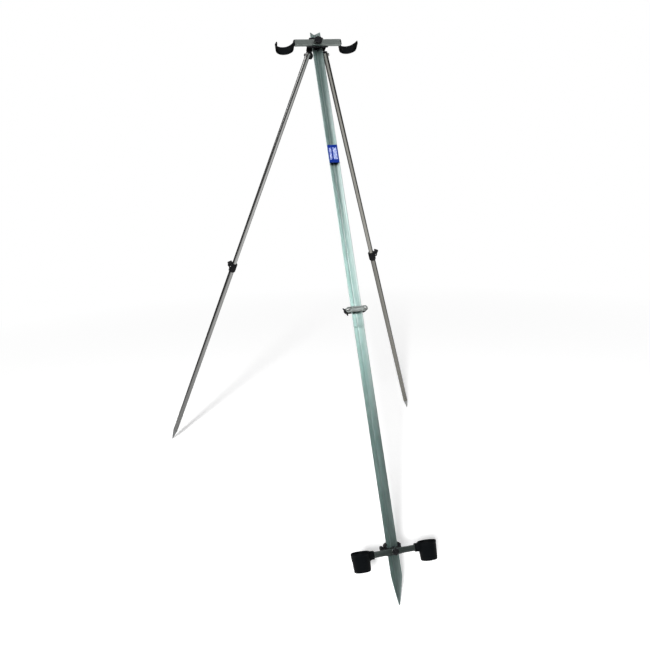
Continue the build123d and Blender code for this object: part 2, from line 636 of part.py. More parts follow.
for leg in SIDE_LEGS:
    foot_base = leg.length - FOOT_SPIKE_LENGTH

    # Moulded plug that closes the top of the tube and takes the hinge bolt
    with BuildPart() as leg_cap:
        with BuildSketch(leg.section(-TUBE_ABOVE_HINGE - CAP_FLANGE)):
            Circle(SIDE_UPPER_RADIUS)
        extrude(amount=CAP_FLANGE)
        fillet(leg_cap.faces().sort_by(Axis(leg.hinge, leg.down))[0].edges(), radius=1.0)
        with BuildSketch(leg.section(-TUBE_ABOVE_HINGE)):
            Circle(SIDE_UPPER_RADIUS - SIDE_TUBE_WALL)
        extrude(amount=CAP_PLUG_LENGTH)
        with BuildSketch(leg.flank(0)):
            Circle(HINGE_PIN_RADIUS + RUNNING_FIT)
        extrude(amount=SIDE_UPPER_RADIUS, both=True, mode=Mode.SUBTRACT)
    save(leg_cap, f"leg_cap_{leg.name}")

    hinge_hole = HINGE_PIN_RADIUS + RUNNING_FIT
    save(
        side_tube(leg, -TUBE_ABOVE_HINGE, UPPER_TUBE_END, SIDE_UPPER_RADIUS, hinge_hole),
        f"side_leg_upper_{leg.name}",
    )
    save(side_tube(leg, LOWER_TUBE_TOP, foot_base, SIDE_LOWER_RADIUS), f"side_leg_lower_{leg.name}")

    # Nylon bush on the end of the upper tube, running inside the lower one
    with BuildPart() as guide_bush:
        with BuildSketch(leg.section(UPPER_TUBE_END)):
            Circle(SIDE_LOWER_RADIUS - SIDE_TUBE_WALL - RUNNING_FIT)
        extrude(amount=BUSH_LENGTH - BUSH_STEM_LENGTH)
        with BuildSketch(leg.section(UPPER_TUBE_END - BUSH_STEM_LENGTH)):
            Circle(SIDE_UPPER_RADIUS - SIDE_TUBE_WALL)
        extrude(amount=BUSH_STEM_LENGTH)
    save(guide_bush, f"guide_bush_{leg.name}")

    # Collar: grips the lower tube, closes on the upper one, and carries the cam lever
    with BuildPart() as lock_collar:
        with BuildSketch(leg.section(COLLAR_TOP)):
            Circle(COLLAR_RADIUS)
        extrude(amount=COLLAR_LENGTH)
        fillet(lock_collar.edges().filter_by(GeomType.CIRCLE), radius=1.5)
        with BuildSketch(leg.section(COLLAR_TOP, LEVER_PIN_OUT)):
            with Locations((-3, 0)):
                Rectangle(17, LEVER_WIDTH + 2 * LEVER_CHEEK + 2 * FACE_GAP)
        extrude(amount=2 * LEVER_PIN_DOWN)
        with BuildSketch(leg.section(COLLAR_TOP)):
            Circle(SIDE_UPPER_RADIUS + RUNNING_FIT)
        extrude(amount=COLLAR_LENGTH, mode=Mode.SUBTRACT)
        with BuildSketch(leg.section(LOWER_TUBE_TOP)):
            Circle(SIDE_LOWER_RADIUS)
        extrude(amount=COLLAR_LENGTH, mode=Mode.SUBTRACT)
        # Slot for the lever's cam, open at the top and outside, and the pin's hole
        slot_floor = LEVER_PIN_OUT - LEVER_CAM_RADIUS - SLIDE_GAP
        with BuildSketch(leg.section(COLLAR_TOP - 1, slot_floor)):
            Rectangle(24, LEVER_WIDTH + 2 * FACE_GAP, align=(Align.MIN, Align.CENTER))
        extrude(amount=2 * LEVER_PIN_DOWN + 1, mode=Mode.SUBTRACT)
        pin_plane = Plane(
            origin=leg.hinge + leg.down * (COLLAR_TOP + LEVER_PIN_DOWN) + leg.outward * LEVER_PIN_OUT,
            x_dir=leg.down,
            z_dir=leg.down.cross(leg.outward),
        )
        with BuildSketch(pin_plane):
            Circle(LEVER_PIN_RADIUS)
        extrude(amount=12, both=True, mode=Mode.SUBTRACT)
    save(lock_collar, f"lock_collar_{leg.name}")

    with BuildPart() as lock_pin:
        with BuildSketch(pin_plane):
            Circle(LEVER_PIN_RADIUS)
        extrude(amount=LEVER_WIDTH / 2 + LEVER_CHEEK + FACE_GAP, both=True)
    save(lock_pin, f"lock_pin_{leg.name}")

    # Lever: a cam round the pin, and a wedge that widens to a broad end for the thumb.
    # In pin_plane, x runs down the leg, and outward is away from the tube.
    outward_y = pin_plane.to_local_coords(pin_plane.origin + leg.outward).Y
    with BuildPart() as lock_lever:
        with BuildSketch(pin_plane):
            Circle(LEVER_CAM_RADIUS)
            with BuildLine():
                Polyline(
                    (0, outward_y * LEVER_CAM_RADIUS),
                    (-LEVER_RISE * 0.58, outward_y * LEVER_TIP_OUT),
                    (-LEVER_RISE, outward_y * 0.5),
                    (-LEVER_RISE * 0.95, -outward_y * 3.0),
                    (-LEVER_PIN_DOWN, -outward_y * 2.6),
                    (0, -outward_y * LEVER_CAM_RADIUS * 0.6),
                    close=True,
                )
            make_face()
        extrude(amount=LEVER_WIDTH / 2, both=True)
        with BuildSketch(pin_plane):
            Circle(LEVER_PIN_RADIUS + RUNNING_FIT)
        extrude(amount=LEVER_WIDTH, both=True, mode=Mode.SUBTRACT)
    save(lock_lever, f"lock_lever_{leg.name}")

    # Pointed foot with a shank inside the lower tube
    with BuildPart() as foot_spike:
        with BuildSketch(leg.section(foot_base)):
            Circle(SIDE_LOWER_RADIUS)
        with BuildSketch(leg.section(leg.length)):
            Circle(SPIKE_TIP_RADIUS)
        loft()
        with BuildSketch(leg.section(foot_base - SHANK_LENGTH)):
            Circle(SIDE_LOWER_RADIUS - SIDE_TUBE_WALL)
        extrude(amount=SHANK_LENGTH)
    save(foot_spike, f"foot_spike_{leg.name}")

# ---------------------------------------------------------------- sliding bracket and its screw

SLIDER_WALL_FRONT = NEST_SHIFT + LIP_FRONT + SLIDE_GAP
LOWER_BOLT_HEAD_FLATS = 10.0
LOWER_BOLT_HEAD_HEIGHT = 4.0
SLIDER_SCREW_END = 15.6
SIDE_KNOB_RADIUS = 8.0
SIDE_KNOB_HEIGHT = 11.0

with BuildPart() as slider_bracket:
    with BuildSketch(section_plane(SLIDER_TOP_ALONG)):
        with BuildLine():
            Polyline(
                (-SLIDER_HALF_WIDTH, SLIDER_FRONT),
                (SLIDER_HALF_WIDTH, SLIDER_FRONT),
                (SLIDER_HALF_WIDTH, SLIDER_BACK + 12),
                (SLIDER_HALF_WIDTH - 14, SLIDER_BACK),
                (-SLIDER_HALF_WIDTH + 14, SLIDER_BACK),
                (-SLIDER_HALF_WIDTH, SLIDER_BACK + 12),
                close=True,
            )
        make_face()
    extrude(amount=SLIDER_BOTTOM_ALONG - SLIDER_TOP_ALONG)
    # The front wall is cut down above the crossbar, so the leg shows between two shoulders
    window_height = LOWER_BAR_ALONG - LOWER_BAR_HEIGHT / 2 - 3 - SLIDER_TOP_ALONG
    with BuildSketch(face_plane(SLIDER_WALL_FRONT - 1, SLIDER_TOP_ALONG)):
        with Locations((0, -window_height / 2)):
            Rectangle(2 * TROUGH_HALF_WIDTH + 2 * SLIDE_GAP, window_height)
    extrude(amount=SLIDER_FRONT - SLIDER_WALL_FRONT + 2, mode=Mode.SUBTRACT)
    # Both side walls slope down from the leg
    outer = SLIDER_HALF_WIDTH + 1
    inner = TROUGH_HALF_WIDTH + 1
    with BuildSketch(face_plane(SLIDER_BACK - 1)):
        for side in (-1, 1):
            with BuildLine():
                Polyline(
                    (side * inner, -SLIDER_TOP_ALONG),
                    (side * outer, -SLIDER_TOP_ALONG + 1),
                    (side * outer, -SLIDER_TOP_ALONG - SLIDER_TOP_SLOPE),
                    close=True,
                )
            make_face()
    extrude(amount=SLIDER_FRONT - SLIDER_BACK + 2, mode=Mode.SUBTRACT)
    with BuildSketch(section_plane(SLIDER_TOP_ALONG)):
        trough_filled(NEST_SHIFT, SLIDE_GAP)
    extrude(amount=SLIDER_BOTTOM_ALONG - SLIDER_TOP_ALONG, mode=Mode.SUBTRACT)
    with BuildSketch(face_plane(SLIDER_WALL_FRONT, LOWER_BAR_ALONG)):
        hexagon(LOWER_BOLT_HEAD_FLATS)
    extrude(amount=LOWER_BOLT_HEAD_HEIGHT, mode=Mode.SUBTRACT)
    with BuildSketch(face_plane(SLIDER_WALL_FRONT, LOWER_BAR_ALONG)):
        Circle(LOWER_BOLT_RADIUS)
    extrude(amount=SLIDER_FRONT - SLIDER_WALL_FRONT, mode=Mode.SUBTRACT)
    with BuildSketch(end_plane(-SLIDER_HALF_WIDTH, SLIDER_SCREW_ALONG, SLIDER_SCREW_FRONT)):
        Circle(SLIDER_SCREW_RADIUS + RUNNING_FIT)
    extrude(amount=SLIDER_HALF_WIDTH - 6, mode=Mode.SUBTRACT)
save(slider_bracket, "slider_bracket")

crossbar_bolt = bolt(
    face_plane(SLIDER_WALL_FRONT + LOWER_BOLT_HEAD_HEIGHT, LOWER_BAR_ALONG),
    LOWER_BOLT_HEAD_FLATS,
    LOWER_BOLT_HEAD_HEIGHT,
    LOWER_BOLT_RADIUS,
    LOWER_KNOB_FOOT + BOLT_END_IN_KNOB - SLIDER_WALL_FRONT - LOWER_BOLT_HEAD_HEIGHT,
)
save(crossbar_bolt, "crossbar_bolt")

side_knob_face = -SLIDER_HALF_WIDTH - 1.5
with BuildPart() as slider_screw:
    with BuildSketch(end_plane(-SLIDER_SCREW_END, SLIDER_SCREW_ALONG, SLIDER_SCREW_FRONT)):
        Circle(SLIDER_SCREW_RADIUS)
    extrude(amount=side_knob_face - 8 + SLIDER_SCREW_END)
save(slider_screw, "slider_screw")

side_knob_plane = Plane(
    origin=leg_point(SLIDER_SCREW_ALONG, SLIDER_SCREW_FRONT, side_knob_face), x_dir=DOWN, z_dir=-SIDEWAYS
)
slider_knob = fluted_knob(side_knob_plane, SIDE_KNOB_RADIUS, SIDE_KNOB_HEIGHT, 6, SLIDER_SCREW_RADIUS, 8)
save(slider_knob, "slider_knob")

# ---------------------------------------------------------------- lower crossbar and butt cups

BOSS_LENGTH = 12.0
BOSS_HEIGHT = 25.0
BOSS_DEPTH = 15.0

lower_crossbar = crossbar(
    LOWER_BAR_ALONG,
    LOWER_BAR_FRONT,
    LOWER_BAR_HALF_LENGTH,
    LOWER_BAR_HEIGHT,
    LOWER_BAR_DEPTH,
    LOWER_BOLT_RADIUS + RUNNING_FIT,
)
save(lower_crossbar, "lower_crossbar")

for name, side in (("left", -1), ("right", 1)):
    centre = side * BUTT_CUP_SPACING
    rim = LOWER_BAR_ALONG - BUTT_CUP_ABOVE_BAR
    depth = BUTT_CUP_ABOVE_BAR + BUTT_CUP_BELOW_BAR
    with BuildPart() as butt_cup:
        with BuildSketch(section_plane(rim, LOWER_BAR_FRONT, centre)):
            Circle(BUTT_CUP_RIM_RADIUS)
        with BuildSketch(section_plane(rim + depth, LOWER_BAR_FRONT, centre)):
            Circle(BUTT_CUP_BASE_RADIUS)
        loft()
        fillet(butt_cup.faces().sort_by(Axis(LEG_TOP, DOWN))[-1].edges(), radius=5.0)
        # Boss and plug that hold the end of the crossbar
        with BuildSketch(end_plane(side * LOWER_BAR_HALF_LENGTH, LOWER_BAR_ALONG, LOWER_BAR_FRONT)):
            RectangleRounded(BOSS_HEIGHT, BOSS_DEPTH, radius=2.0)
        extrude(amount=side * (BOSS_LENGTH + 3))
        with BuildSketch(end_plane(side * LOWER_BAR_HALF_LENGTH, LOWER_BAR_ALONG, LOWER_BAR_FRONT)):
            Rectangle(
                LOWER_BAR_HEIGHT - 2 * BAR_WALL - 2 * FACE_GAP, LOWER_BAR_DEPTH - 2 * BAR_WALL - 2 * FACE_GAP
            )
        extrude(amount=-side * CUP_PLUG_LENGTH)
        # Grip rib down the front of the cup
        with BuildSketch(section_plane(rim, LOWER_BAR_FRONT + BUTT_CUP_RIM_RADIUS - 1.0, centre)):
            Rectangle(3.0, 4.0)
        extrude(amount=23.0)
        # Straight bore for the rod butt, opening out to a lead-in at the rim
        bore_top = rim + depth - BUTT_CUP_FLOOR - BUTT_CUP_BORE_LENGTH
        with BuildSketch(section_plane(bore_top, LOWER_BAR_FRONT, centre)):
            Circle(BUTT_CUP_BORE_RADIUS)
        extrude(amount=BUTT_CUP_BORE_LENGTH, mode=Mode.SUBTRACT)
        with BuildSketch(section_plane(rim, LOWER_BAR_FRONT, centre)):
            Circle(BUTT_CUP_RIM_RADIUS - 2.6)
        with BuildSketch(section_plane(bore_top, LOWER_BAR_FRONT, centre)):
            Circle(BUTT_CUP_BORE_RADIUS)
        loft(mode=Mode.SUBTRACT)
        screw_across = side * (LOWER_BAR_HALF_LENGTH - CUP_SCREW_INSET)
        with BuildSketch(face_plane(SLIDER_FRONT, LOWER_BAR_ALONG, screw_across)):
            Circle(CUP_SCREW_RADIUS)
        extrude(amount=CUP_SCREW_LENGTH + FACE_GAP, mode=Mode.SUBTRACT)
    save(butt_cup, f"butt_cup_{name}")

save(cup_screws(LOWER_BAR_HALF_LENGTH, SLIDER_FRONT + FACE_GAP, LOWER_BAR_ALONG), "butt_cup_screws")

lower_washer_plane = face_plane(LOWER_BAR_FACE, LOWER_BAR_ALONG)
lower_knob_plane = face_plane(LOWER_KNOB_FOOT, LOWER_BAR_ALONG)
save(washer(lower_washer_plane, LOWER_BOLT_RADIUS + RUNNING_FIT), "lower_washer")
lower_knob = fluted_knob(
    lower_knob_plane,
    LOWER_KNOB_RADIUS,
    LOWER_KNOB_HEIGHT,
    CROSSBAR_KNOB_FLUTES,
    KNOB_INSERT_RADIUS,
    KNOB_INSERT_LENGTH,
)
save(lower_knob, "lower_knob")
save(knob_insert(lower_knob_plane, LOWER_BOLT_RADIUS + RUNNING_FIT), "lower_knob_insert")
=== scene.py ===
"""Looks for the two-rod beach casting tripod: camera, studio, materials and detailed pieces.

Pieces are built in millimetres in the frame of the part that they sit on, and are placed by the
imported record's joints.  In the main leg's frame x is to the right, y up the leg, and z out of the
leg's open side.  In a side leg's frame x is outward, z down the leg, and y across both.
"""

import json
from math import cos, hypot, pi, radians, sin, tau

import bmesh
import bpy
from mathutils import Matrix, Vector

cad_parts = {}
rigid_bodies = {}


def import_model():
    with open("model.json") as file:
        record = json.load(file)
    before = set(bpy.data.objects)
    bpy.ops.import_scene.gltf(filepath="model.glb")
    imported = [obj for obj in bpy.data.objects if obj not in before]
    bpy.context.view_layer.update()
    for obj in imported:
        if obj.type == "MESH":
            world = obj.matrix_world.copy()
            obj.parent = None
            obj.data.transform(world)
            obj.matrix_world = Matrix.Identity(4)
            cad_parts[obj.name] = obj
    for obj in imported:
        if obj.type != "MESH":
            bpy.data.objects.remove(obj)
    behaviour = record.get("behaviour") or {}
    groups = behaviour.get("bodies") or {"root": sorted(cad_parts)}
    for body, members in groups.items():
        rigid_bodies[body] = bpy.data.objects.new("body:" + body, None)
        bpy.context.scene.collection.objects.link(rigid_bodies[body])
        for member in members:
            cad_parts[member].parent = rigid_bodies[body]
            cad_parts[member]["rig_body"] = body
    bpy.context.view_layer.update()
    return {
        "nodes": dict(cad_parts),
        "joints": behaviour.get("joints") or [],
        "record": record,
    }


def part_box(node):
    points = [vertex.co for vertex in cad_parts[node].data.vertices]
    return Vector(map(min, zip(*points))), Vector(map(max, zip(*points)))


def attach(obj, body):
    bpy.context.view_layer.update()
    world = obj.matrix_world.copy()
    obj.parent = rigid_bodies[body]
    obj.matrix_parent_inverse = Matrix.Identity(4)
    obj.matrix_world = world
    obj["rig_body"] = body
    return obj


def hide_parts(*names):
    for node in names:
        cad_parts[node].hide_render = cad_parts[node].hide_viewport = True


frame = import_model()
NODES = frame["nodes"]
JOINTS = {joint["name"]: joint for joint in frame["joints"]}
SIDES = {"left": -1, "right": 1}
MM = 0.001

# ---------------------------------------------------------------- frames of reference

RIGHT = Vector((1, 0, 0))
UP_LEG = Vector(JOINTS["lower_leg_slide"]["axis"])
LEG_FRONT = Vector(JOINTS["upper_bar_swivel"]["axis"])


def place_at(origin, x_axis, y_axis, z_axis):
    """Matrix from millimetres in a local frame to metres in the object's frame."""
    turn = Matrix((x_axis, y_axis, z_axis)).transposed().to_4x4()
    return Matrix.Translation(origin) @ turn @ Matrix.Scale(MM, 4)


def main_leg_place(joint_name):
    """The main leg's frame, with its origin at a joint."""
    return place_at(Vector(JOINTS[joint_name]["pos_m"]), RIGHT, UP_LEG, LEG_FRONT)


def side_leg_place(name):
    """A side leg's frame, with its origin at the hinge."""
    fold = JOINTS[f"side_leg_{name}_fold"]
    down = -Vector(JOINTS[f"side_leg_{name}_slide"]["axis"])
    outward = Vector(fold["axis"])
    if outward.x * SIDES[name] < 0:
        outward = -outward
    return place_at(Vector(fold["pos_m"]), outward, down.cross(outward), down)


UPPER_BAR = main_leg_place("upper_bar_swivel")
LOWER_BAR = main_leg_place("lower_bar_swivel")

# ---------------------------------------------------------------- camera

LENS = 40.64
SENSOR_WIDTH = 36
CAMERA_PLACE = Vector((-0.633, -2.564, 1.369))
CAMERA_HEADING = -13.7
CAMERA_PITCH = -14.6
CAMERA_ROLL = -2.42

camera_data = bpy.data.cameras.new("camera")
camera_data.lens = LENS
camera_data.sensor_width = SENSOR_WIDTH
camera = bpy.data.objects.new("camera", camera_data)
bpy.context.scene.collection.objects.link(camera)
camera.matrix_world = (
    Matrix.Translation(CAMERA_PLACE)
    @ Matrix.Rotation(radians(CAMERA_HEADING), 4, "Z")
    @ Matrix.Rotation(radians(90 + CAMERA_PITCH), 4, "X")
    @ Matrix.Rotation(radians(CAMERA_ROLL), 4, "Z")
)
bpy.context.scene.camera = camera
bpy.context.scene.view_settings.view_transform = "Standard"

# ---------------------------------------------------------------- materials


class Look:
    """One procedural material, with short ways to add and join nodes."""

    def __init__(self, name, metallic=0.0, roughness=0.5):
        self.material = bpy.data.materials.new(name)
        self.material.use_nodes = True
        self.tree = self.material.node_tree
        self.shader = self.tree.nodes["Principled BSDF"]
        self.shader.inputs["Metallic"].default_value = metallic
        self.shader.inputs["Roughness"].default_value = roughness

    def node(self, kind, inputs=None, **settings):
        """New node, with sockets set to constants or joined to other nodes' outputs."""
        made = self.tree.nodes.new(kind)
        for key, value in settings.items():
            setattr(made, key, value)
        for key, value in (inputs or {}).items():
            if isinstance(value, bpy.types.NodeSocket):
                self.tree.links.new(value, made.inputs[key])
            else:
                made.inputs[key].default_value = value
        return made

    def along(self, direction, stretch):
        """Coordinates in metres with z along direction, multiplied by stretch."""
        turn = Vector(direction).normalized().rotation_difference(Vector((0, 0, 1))).to_euler()
        where = self.node("ShaderNodeTexCoord").outputs["Object"]
        turned = self.node("ShaderNodeMapping", {"Vector": where, "Rotation": turn})
        scaled = self.node("ShaderNodeMapping", {"Vector": turned.outputs[0], "Scale": stretch})
        return scaled.outputs[0]

    def noise(self, where, scale=1.0, detail=3.0, roughness=0.5):
        """Noise from 0 to 1 over the coordinates given."""
        settings = {"Vector": where, "Scale": scale, "Detail": detail, "Roughness": roughness}
        return self.node("ShaderNodeTexNoise", settings).outputs[0]

    def remap(self, value, low, high, start=0.3, end=0.7):
        """value from start..end turned into low..high, held at both ends."""
        settings = {"Value": value, "From Min": start, "From Max": end, "To Min": low, "To Max": high}
        return self.node("ShaderNodeMapRange", settings).outputs[0]

    def mix(self, factor, first, second):
        """Colour between first and second."""
        made = self.node("ShaderNodeMix", data_type="RGBA")
        for socket, value in ((made.inputs[0], factor), (made.inputs[6], first), (made.inputs[7], second)):
            if isinstance(value, bpy.types.NodeSocket):
                self.tree.links.new(value, socket)
            else:
                socket.default_value = value if isinstance(value, float) else (*value, 1.0)
        return made.outputs[2]

    def maths(self, operation, first, second):
        """Arithmetic on two values."""
        return self.node("ShaderNodeMath", {0: first, 1: second}, operation=operation).outputs[0]

    def share(self, part, first, second):
        """A part of the first value added to the rest of the second."""
        kept = self.maths("MULTIPLY", first, part)
        rest = self.maths("MULTIPLY", second, 1 - part)
        return self.maths("ADD", kept, rest)

    def between(self, value, start, end):
        """1 where value is between start and end, and 0 elsewhere."""
        above = self.maths("GREATER_THAN", value, start)
        below = self.maths("LESS_THAN", value, end)
        return self.maths("MULTIPLY", above, below)

    def colour(self, socket):
        """Joins a colour to the shader."""
        self.tree.links.new(socket, self.shader.inputs["Base Color"])

    def rough(self, socket):
        """Joins a roughness to the shader."""
        self.tree.links.new(socket, self.shader.inputs["Roughness"])

    def bump(self, height, distance):
        """Joins a height map, distance metres deep, to the shader."""
        made = self.node("ShaderNodeBump", {"Height": height, "Distance": distance, "Strength": 1.0})
        self.tree.links.new(made.outputs[0], self.shader.inputs["Normal"])


# Cells of noise in a metre of metal: across it twice, and along it
GRAIN = (1500, 1500, 6)
DIE_LINES = (420, 420, 0.8)
BLOTCHES = (60, 60, 9)
FLECKS = (900, 900, 500)
TOOL_MARKS = (700, 700, 700)
BRUSHED_MARKS = (900, 900, 40)
TONE_PATCHES = (150, 150, 150)

# The same for plastic and film, alike in every direction
SPARK_TEXTURE = 2600
SCUFFED_PATCHES = 90
DUST = 900
FILM_WEAVE = 600

# Depth of each finish's bump in metres
DRAWN_DEPTH = 0.00002
PLATED_DEPTH = 0.00003
MOULDED_DEPTH = 0.00006
FILM_DEPTH = 0.00002


def drawn_aluminium(name, tones, direction, roughness, streak=0.5):
    """Aluminium with grain, die lines and faint blotches running along direction."""
    pale, dark = tones
    look = Look(name, metallic=1.0)
    grain = look.noise(look.along(direction, GRAIN), detail=4)
    lines = look.noise(look.along(direction, DIE_LINES), detail=2)
    blotch = look.noise(look.along(direction, BLOTCHES), detail=3)
    fleck = look.noise(look.along(direction, FLECKS), detail=2)
    tone = look.share(streak, lines, blotch)
    look.colour(look.mix(look.remap(tone, 0.0, 1.0, 0.36, 0.62), dark, pale))
    wear = look.share(0.85, grain, fleck)
    look.rough(look.remap(wear, roughness - 0.07, roughness + 0.1))
    look.shader.inputs["Anisotropic"].default_value = 0.35
    look.bump(look.maths("ADD", grain, look.maths("MULTIPLY", lines, 0.6)), DRAWN_DEPTH)
    return look.material


def moulded_plastic(name, colour, roughness, shine=0.2):
    """Plastic with spark-eroded texture, a little dust and scuffed patches."""
    look = Look(name)
    where = look.along((0, 0, 1), (1, 1, 1))
    texture = look.noise(where, scale=SPARK_TEXTURE, detail=2)
    patch = look.noise(where, scale=SCUFFED_PATCHES, detail=4)
    dust = look.noise(where, scale=DUST, detail=5, roughness=0.7)
    dusty = tuple(0.03 + 0.9 * part for part in colour)
    look.colour(look.mix(look.remap(dust, 0.0, 0.3, 0.6, 0.85), colour, dusty))
    look.rough(look.remap(patch, roughness - 0.08, roughness + 0.1, 0.35, 0.65))
    look.shader.inputs["Specular IOR Level"].default_value = shine
    look.bump(texture, MOULDED_DEPTH)
    return look.material


def plated_metal(name, tones, roughness, direction=(0, 0, 1), stretch=TOOL_MARKS):
    """Plated or turned metal with fine tool marks and tone patches."""
    pale, dark = tones
    look = Look(name, metallic=1.0)
    marks = look.noise(look.along(direction, stretch), detail=4)
    patch = look.noise(look.along(direction, TONE_PATCHES), detail=3)
    look.colour(look.mix(look.remap(patch, 0.0, 1.0), dark, pale))
    look.rough(look.remap(marks, roughness - 0.08, roughness + 0.12))
    look.bump(marks, PLATED_DEPTH)
    return look.material


# Shares of the badge's height and width that the pale blocks cover
PRINT_HEIGHT = (0.18, 0.84)
PRINT_COLUMNS = ((0.12, 0.32), (0.48, 0.86))
PRINT_BLUE = (0.003, 0.016, 0.15)
FILM_BLUES = ((0.002, 0.014, 0.13), (0.003, 0.02, 0.18))


def badge_print(name):
    """Blue film with plain bands at both ends and two pale columns of blocks that spell nothing."""
    look = Look(name, roughness=0.28)
    look.shader.inputs["Coat Weight"].default_value = 0.1
    look.shader.inputs["Specular IOR Level"].default_value = 0.25
    low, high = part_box("badge")
    where = look.node("ShaderNodeTexCoord").outputs["Object"]
    parts = look.node("ShaderNodeSeparateXYZ", {0: where})
    across = look.remap(parts.outputs[0], 0.0, 1.0, low.x, high.x)
    height = look.remap(parts.outputs[2], 0.0, 1.0, low.z, high.z)
    blocks = look.node("ShaderNodeCombineXYZ", {0: height, 1: across})
    bricks = look.node(
        "ShaderNodeTexBrick",
        {
            "Vector": blocks.outputs[0],
            "Color1": (0.72, 0.76, 0.9, 1),
            "Color2": (0.30, 0.38, 0.72, 1),
            "Mortar": (*PRINT_BLUE, 1),
            "Scale": 4.0,
            "Mortar Size": 0.07,
            "Brick Width": 0.3,
            "Row Height": 0.5,
        },
    )
    left, right = (look.between(across, *column) for column in PRINT_COLUMNS)
    columns = look.maths("MULTIPLY", look.between(height, *PRINT_HEIGHT), look.maths("ADD", left, right))
    weave = look.noise(where, scale=FILM_WEAVE, detail=3)
    blue = look.mix(look.remap(weave, 0.0, 1.0), *FILM_BLUES)
    look.colour(look.mix(columns, blue, bricks.outputs[0]))
    look.bump(weave, FILM_DEPTH)
    return look.material


BLACK = (0.006, 0.006, 0.007)
DEEP_BLACK = (0.0025, 0.003, 0.0035)
LEVER_BLACK = (0.009, 0.009, 0.010)
KNOB_BLACK = (0.005, 0.005, 0.006)
NYLON = (0.72, 0.70, 0.64)

# The pale and the dark tone of each metal
TONES = {
    "upper_trough": ((0.64, 0.75, 0.73), (0.45, 0.60, 0.57)),
    "lower_trough": ((0.68, 0.80, 0.775), (0.47, 0.63, 0.60)),
    # The side legs' tubes are one metal in lit and shaded copies: the left lighter, the right darker and
    # warmer, which is painted light and shade
    "left_tubes": ((0.84, 0.84, 0.82), (0.50, 0.50, 0.49)),
    "right_tubes": ((0.68, 0.67, 0.62), (0.36, 0.35, 0.31)),
    "crossbar": ((0.55, 0.61, 0.585), (0.42, 0.475, 0.45)),
    # The lower crossbar's tones are the crossbar metal darkened: painted shade, standing in for the dark
    # reflection in its front face
    "lower_crossbar": ((0.24, 0.28, 0.27), (0.15, 0.18, 0.175)),
    "plate": ((0.62, 0.67, 0.65), (0.46, 0.51, 0.49)),
    "zinc": ((0.80, 0.80, 0.78), (0.62, 0.63, 0.63)),
    "brass": ((0.80, 0.62, 0.30), (0.62, 0.45, 0.20)),
    "spike": ((0.62, 0.63, 0.63), (0.44, 0.45, 0.45)),
}
LOOKS = {
    "upper_trough": drawn_aluminium("upper_trough", TONES["upper_trough"], UP_LEG, 0.34),
    "lower_trough": drawn_aluminium("lower_trough", TONES["lower_trough"], UP_LEG, 0.34),
    "badge_film": badge_print("badge_film"),
    "head_moulding": moulded_plastic("head_moulding", BLACK, 0.5, shine=0.14),
    "cup_moulding": moulded_plastic("cup_moulding", DEEP_BLACK, 0.32, shine=0.14),
    "butt_moulding": moulded_plastic("butt_moulding", DEEP_BLACK, 0.42, shine=0.06),
    "cap_moulding": moulded_plastic("cap_moulding", BLACK, 0.45),
    "collar_moulding": moulded_plastic("collar_moulding", BLACK, 0.45, shine=0.16),
    "lever_moulding": moulded_plastic("lever_moulding", LEVER_BLACK, 0.4),
    "slider_moulding": moulded_plastic("slider_moulding", BLACK, 0.45, shine=0.12),
    "knob_moulding": moulded_plastic("knob_moulding", KNOB_BLACK, 0.32, shine=0.25),
    "bush_nylon": moulded_plastic("bush_nylon", NYLON, 0.5),
    "crossbar_metal": drawn_aluminium("crossbar_metal", TONES["crossbar"], RIGHT, 0.36),
    "lower_crossbar_shaded_metal": drawn_aluminium("lower_crossbar_shaded_metal", TONES["lower_crossbar"], RIGHT, 0.4),
    "plate_steel": plated_metal("plate_steel", TONES["plate"], 0.46, RIGHT, BRUSHED_MARKS),
    "zinc_steel": plated_metal("zinc_steel", TONES["zinc"], 0.28),
    "insert_brass": plated_metal("insert_brass", TONES["brass"], 0.3),
    "spike_alloy": plated_metal("spike_alloy", TONES["spike"], 0.34),
}
LOWER_TUBE_TONE = 0.68
TUBE_STREAK = 0.9


def side_tube_looks(name):
    """Materials of a side leg's upper tube and of its darker lower tube; the right leg's darker, warmer tones
    are painted shade.
    """
    tones = TONES[f"{name}_tubes"]
    darker = [[LOWER_TUBE_TONE * part for part in tone] for tone in tones]
    along = Vector(JOINTS[f"side_leg_{name}_slide"]["axis"])
    upper = drawn_aluminium(f"side_tube_upper_{name}", tones, along, 0.24, TUBE_STREAK)
    lower = drawn_aluminium(f"side_tube_lower_{name}", darker, along, 0.27, TUBE_STREAK)
    return upper, lower


SIDE_TUBES = {name: side_tube_looks(name) for name in SIDES}

# ---------------------------------------------------------------- studio

WHITE = (1, 1, 1, 1)
FLOOR_RADIUS = 60.0
FLOOR_GLOW = 0.44
FLOOR_PAINT = ((0.80, 0.80, 0.80), (0.82, 0.82, 0.82))
# The painted floor turns into plain white from the first to the second distance from the origin
FLOOR_FADE = (1.2, 4.0)
# In reflections the floor's light goes from the first level to the second, round this middle
FLOOR_MIRRORED = (0.66, 0.03)
FLOOR_MIRROR_MIDDLE = (0.35, -0.3, 0.0)
FLOOR_MIRROR_FADE = (0.8, 2.2)
# Sine of the elevation above the horizon, and the light reflected from there
WORLD_LEVELS = ((0.001, 0.03), (0.2, 0.05), (0.4, 0.16), (0.6, 0.28), (0.8, 0.2), (0.999, 0.36))
LIGHT_TARGET = Vector((0, 0, 0.7))


